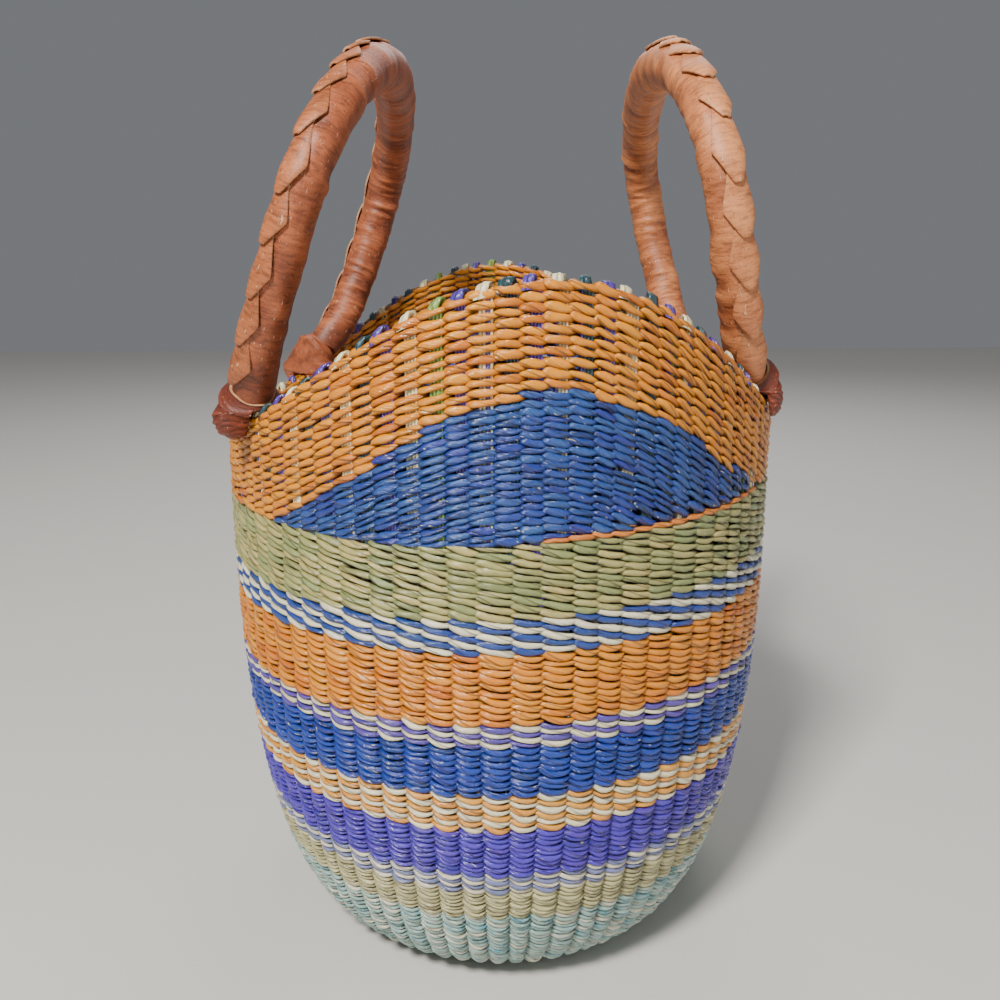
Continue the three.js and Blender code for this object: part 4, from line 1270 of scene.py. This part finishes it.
def cuff_folds():
    """Height of the folds, ring by ring."""
    folds = np.zeros((CUFF_RINGS, CUFF_SIDES))
    for level in FOLD_LEVELS:
        sway = 0.035 * np.sin(turns * 2 + chance.uniform(0, 6))
        sway = sway + 0.02 * np.sin(turns * 5 + chance.uniform(0, 6))
        size = chance.uniform(0.6, 1.1) * (0.75 + 0.25 * np.sin(turns * 3 + chance.uniform(0, 6)))
        x = (share[:, None] - level - sway) / FOLD_WIDTH
        folds += size * (hill(x) - 0.6 * hill(x - 1.4))
    return folds + 0.25 * np.sin(turns * 4 + 1) * hill(share[:, None] / 0.2)


def cuff_sheet(name, foot, leg, end, flare, finish):
    foot = {key: np.array(value) for key, value in foot.items()}
    sheet, folds = cuff_form(foot, leg, end, flare), cuff_folds()
    way = sheet - sheet.mean(1, keepdims=True)
    way /= np.maximum(np.linalg.norm(way, axis=2, keepdims=True), 1e-6)
    sheet = sheet + way * folds[..., None] * FOLD_SIZE
    offset = (sheet - foot["pivot"]) @ foot["outward"] + foot["outset"]
    slide = (sheet - foot["pivot"]) @ foot["along"]
    rim = foot["pivot"][2] - foot["seat"] + foot["climb"] * slide + OVER_RIM
    over_wall = np.clip((WALL_HALF - np.abs(offset)) / WALL_EDGE, 0, 1)
    sheet[..., 2] += np.maximum(rim - sheet[..., 2], 0) * over_wall
    places = spread_over(folds.shape, share[:, None] * 0.03, CUFF_MIDDLE * np.abs(half_turn(turns)), 0)
    # Paler on the crests of the folds, partly wear and partly painted highlight, and darker in their
    # hollows as painted shade.
    fold = np.clip(0.45 + 0.4 * folds, 0, 1)
    cuff = tubes_object(name, sheet[None], finish, hide_place=places, fold=fold)
    return cut_from_hide(cuff, 1.1 * MM, 0.3 * MM)


for name, loop in loops.items():
    for end, way, foot, leg in (("near", -1, loop.near, NEAR_LEG_RADIUS), ("far", 1, loop.far, LEG_RADIUS)):
        node_name = f"{name}_{end}_cuff"
        finish = sleeve_leather[name] if node_name == "left_far_cuff" else cuff_leather
        cuff = cuff_sheet(node_name + "_leather", foot, leg, way, CUFF_FLARE[name], finish)
        low = foot["pivot"] - foot["rise"] * 9 * MM
        high = foot["pivot"] + foot["rise"] * 8 * MM
        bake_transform(cuff)
        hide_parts(node_name)
        print(node_name, "has", len(cuff.data.polygons), "faces")

# %% [markdown]
# ## Floor and light
# A plain pale floor and three lamps. The window is small and bright, high on the left in front, so
# the stitches throw clear shadows on each other. A broad weak lamp on the right and one behind
# soften the shaded sides, so the rounded stitches read there too.

# %% Floor, lamps and sky
FLOOR_HALF = 3
# Lamp: place, what it points at, size in metres, watts, colour.
LAMPS = {
    "window": ((-0.6, -1.3, 1.7), (0, 0, 0.2), 0.35, 64, (1, 0.97, 0.93)),
    "fill": ((1.5, -0.9, 0.8), (0, 0, 0.2), 1.2, 5, (1, 1, 1)),
    "back": ((0.3, 1.5, 1.4), (0, 0, 0.25), 1.0, 10, (1, 1, 1)),
}
SKY_COLOUR, SKY_STRENGTH = (0.9, 0.93, 1, 1), 0.2
corners = [(x * FLOOR_HALF, y * FLOOR_HALF, 0) for x, y in ((-1, -1), (1, -1), (1, 1), (-1, 1))]
floor_mesh = bpy.data.meshes.new("floor")
floor_mesh.from_pydata(corners, [], [(0, 1, 2, 3)])
paper = bare_material("pale_paper")
paper_shader = paper.node_tree.nodes["Principled BSDF"]
paper_shader.inputs["Base Color"].default_value = dye("#d9d6d0")
paper_shader.inputs["Roughness"].default_value = 0.8
floor_mesh.materials.append(paper)
floor = placed("floor", floor_mesh)
for name, (place, target, size, power, colour) in LAMPS.items():
    light = bpy.data.lights.new(name, "AREA")
    light.energy = power
    light.size = size
    light.color = colour
    lamp = placed(name, light)
    lamp.location = place
    lamp.rotation_euler = (Vector(target) - Vector(place)).to_track_quat("-Z", "Y").to_euler()
sky = bpy.data.worlds.new("sky")
sky.use_nodes = True
sky.node_tree.nodes["Background"].inputs["Color"].default_value = SKY_COLOUR
sky.node_tree.nodes["Background"].inputs["Strength"].default_value = SKY_STRENGTH
bpy.context.scene.world = sky
print("lamps:", ", ".join(LAMPS))
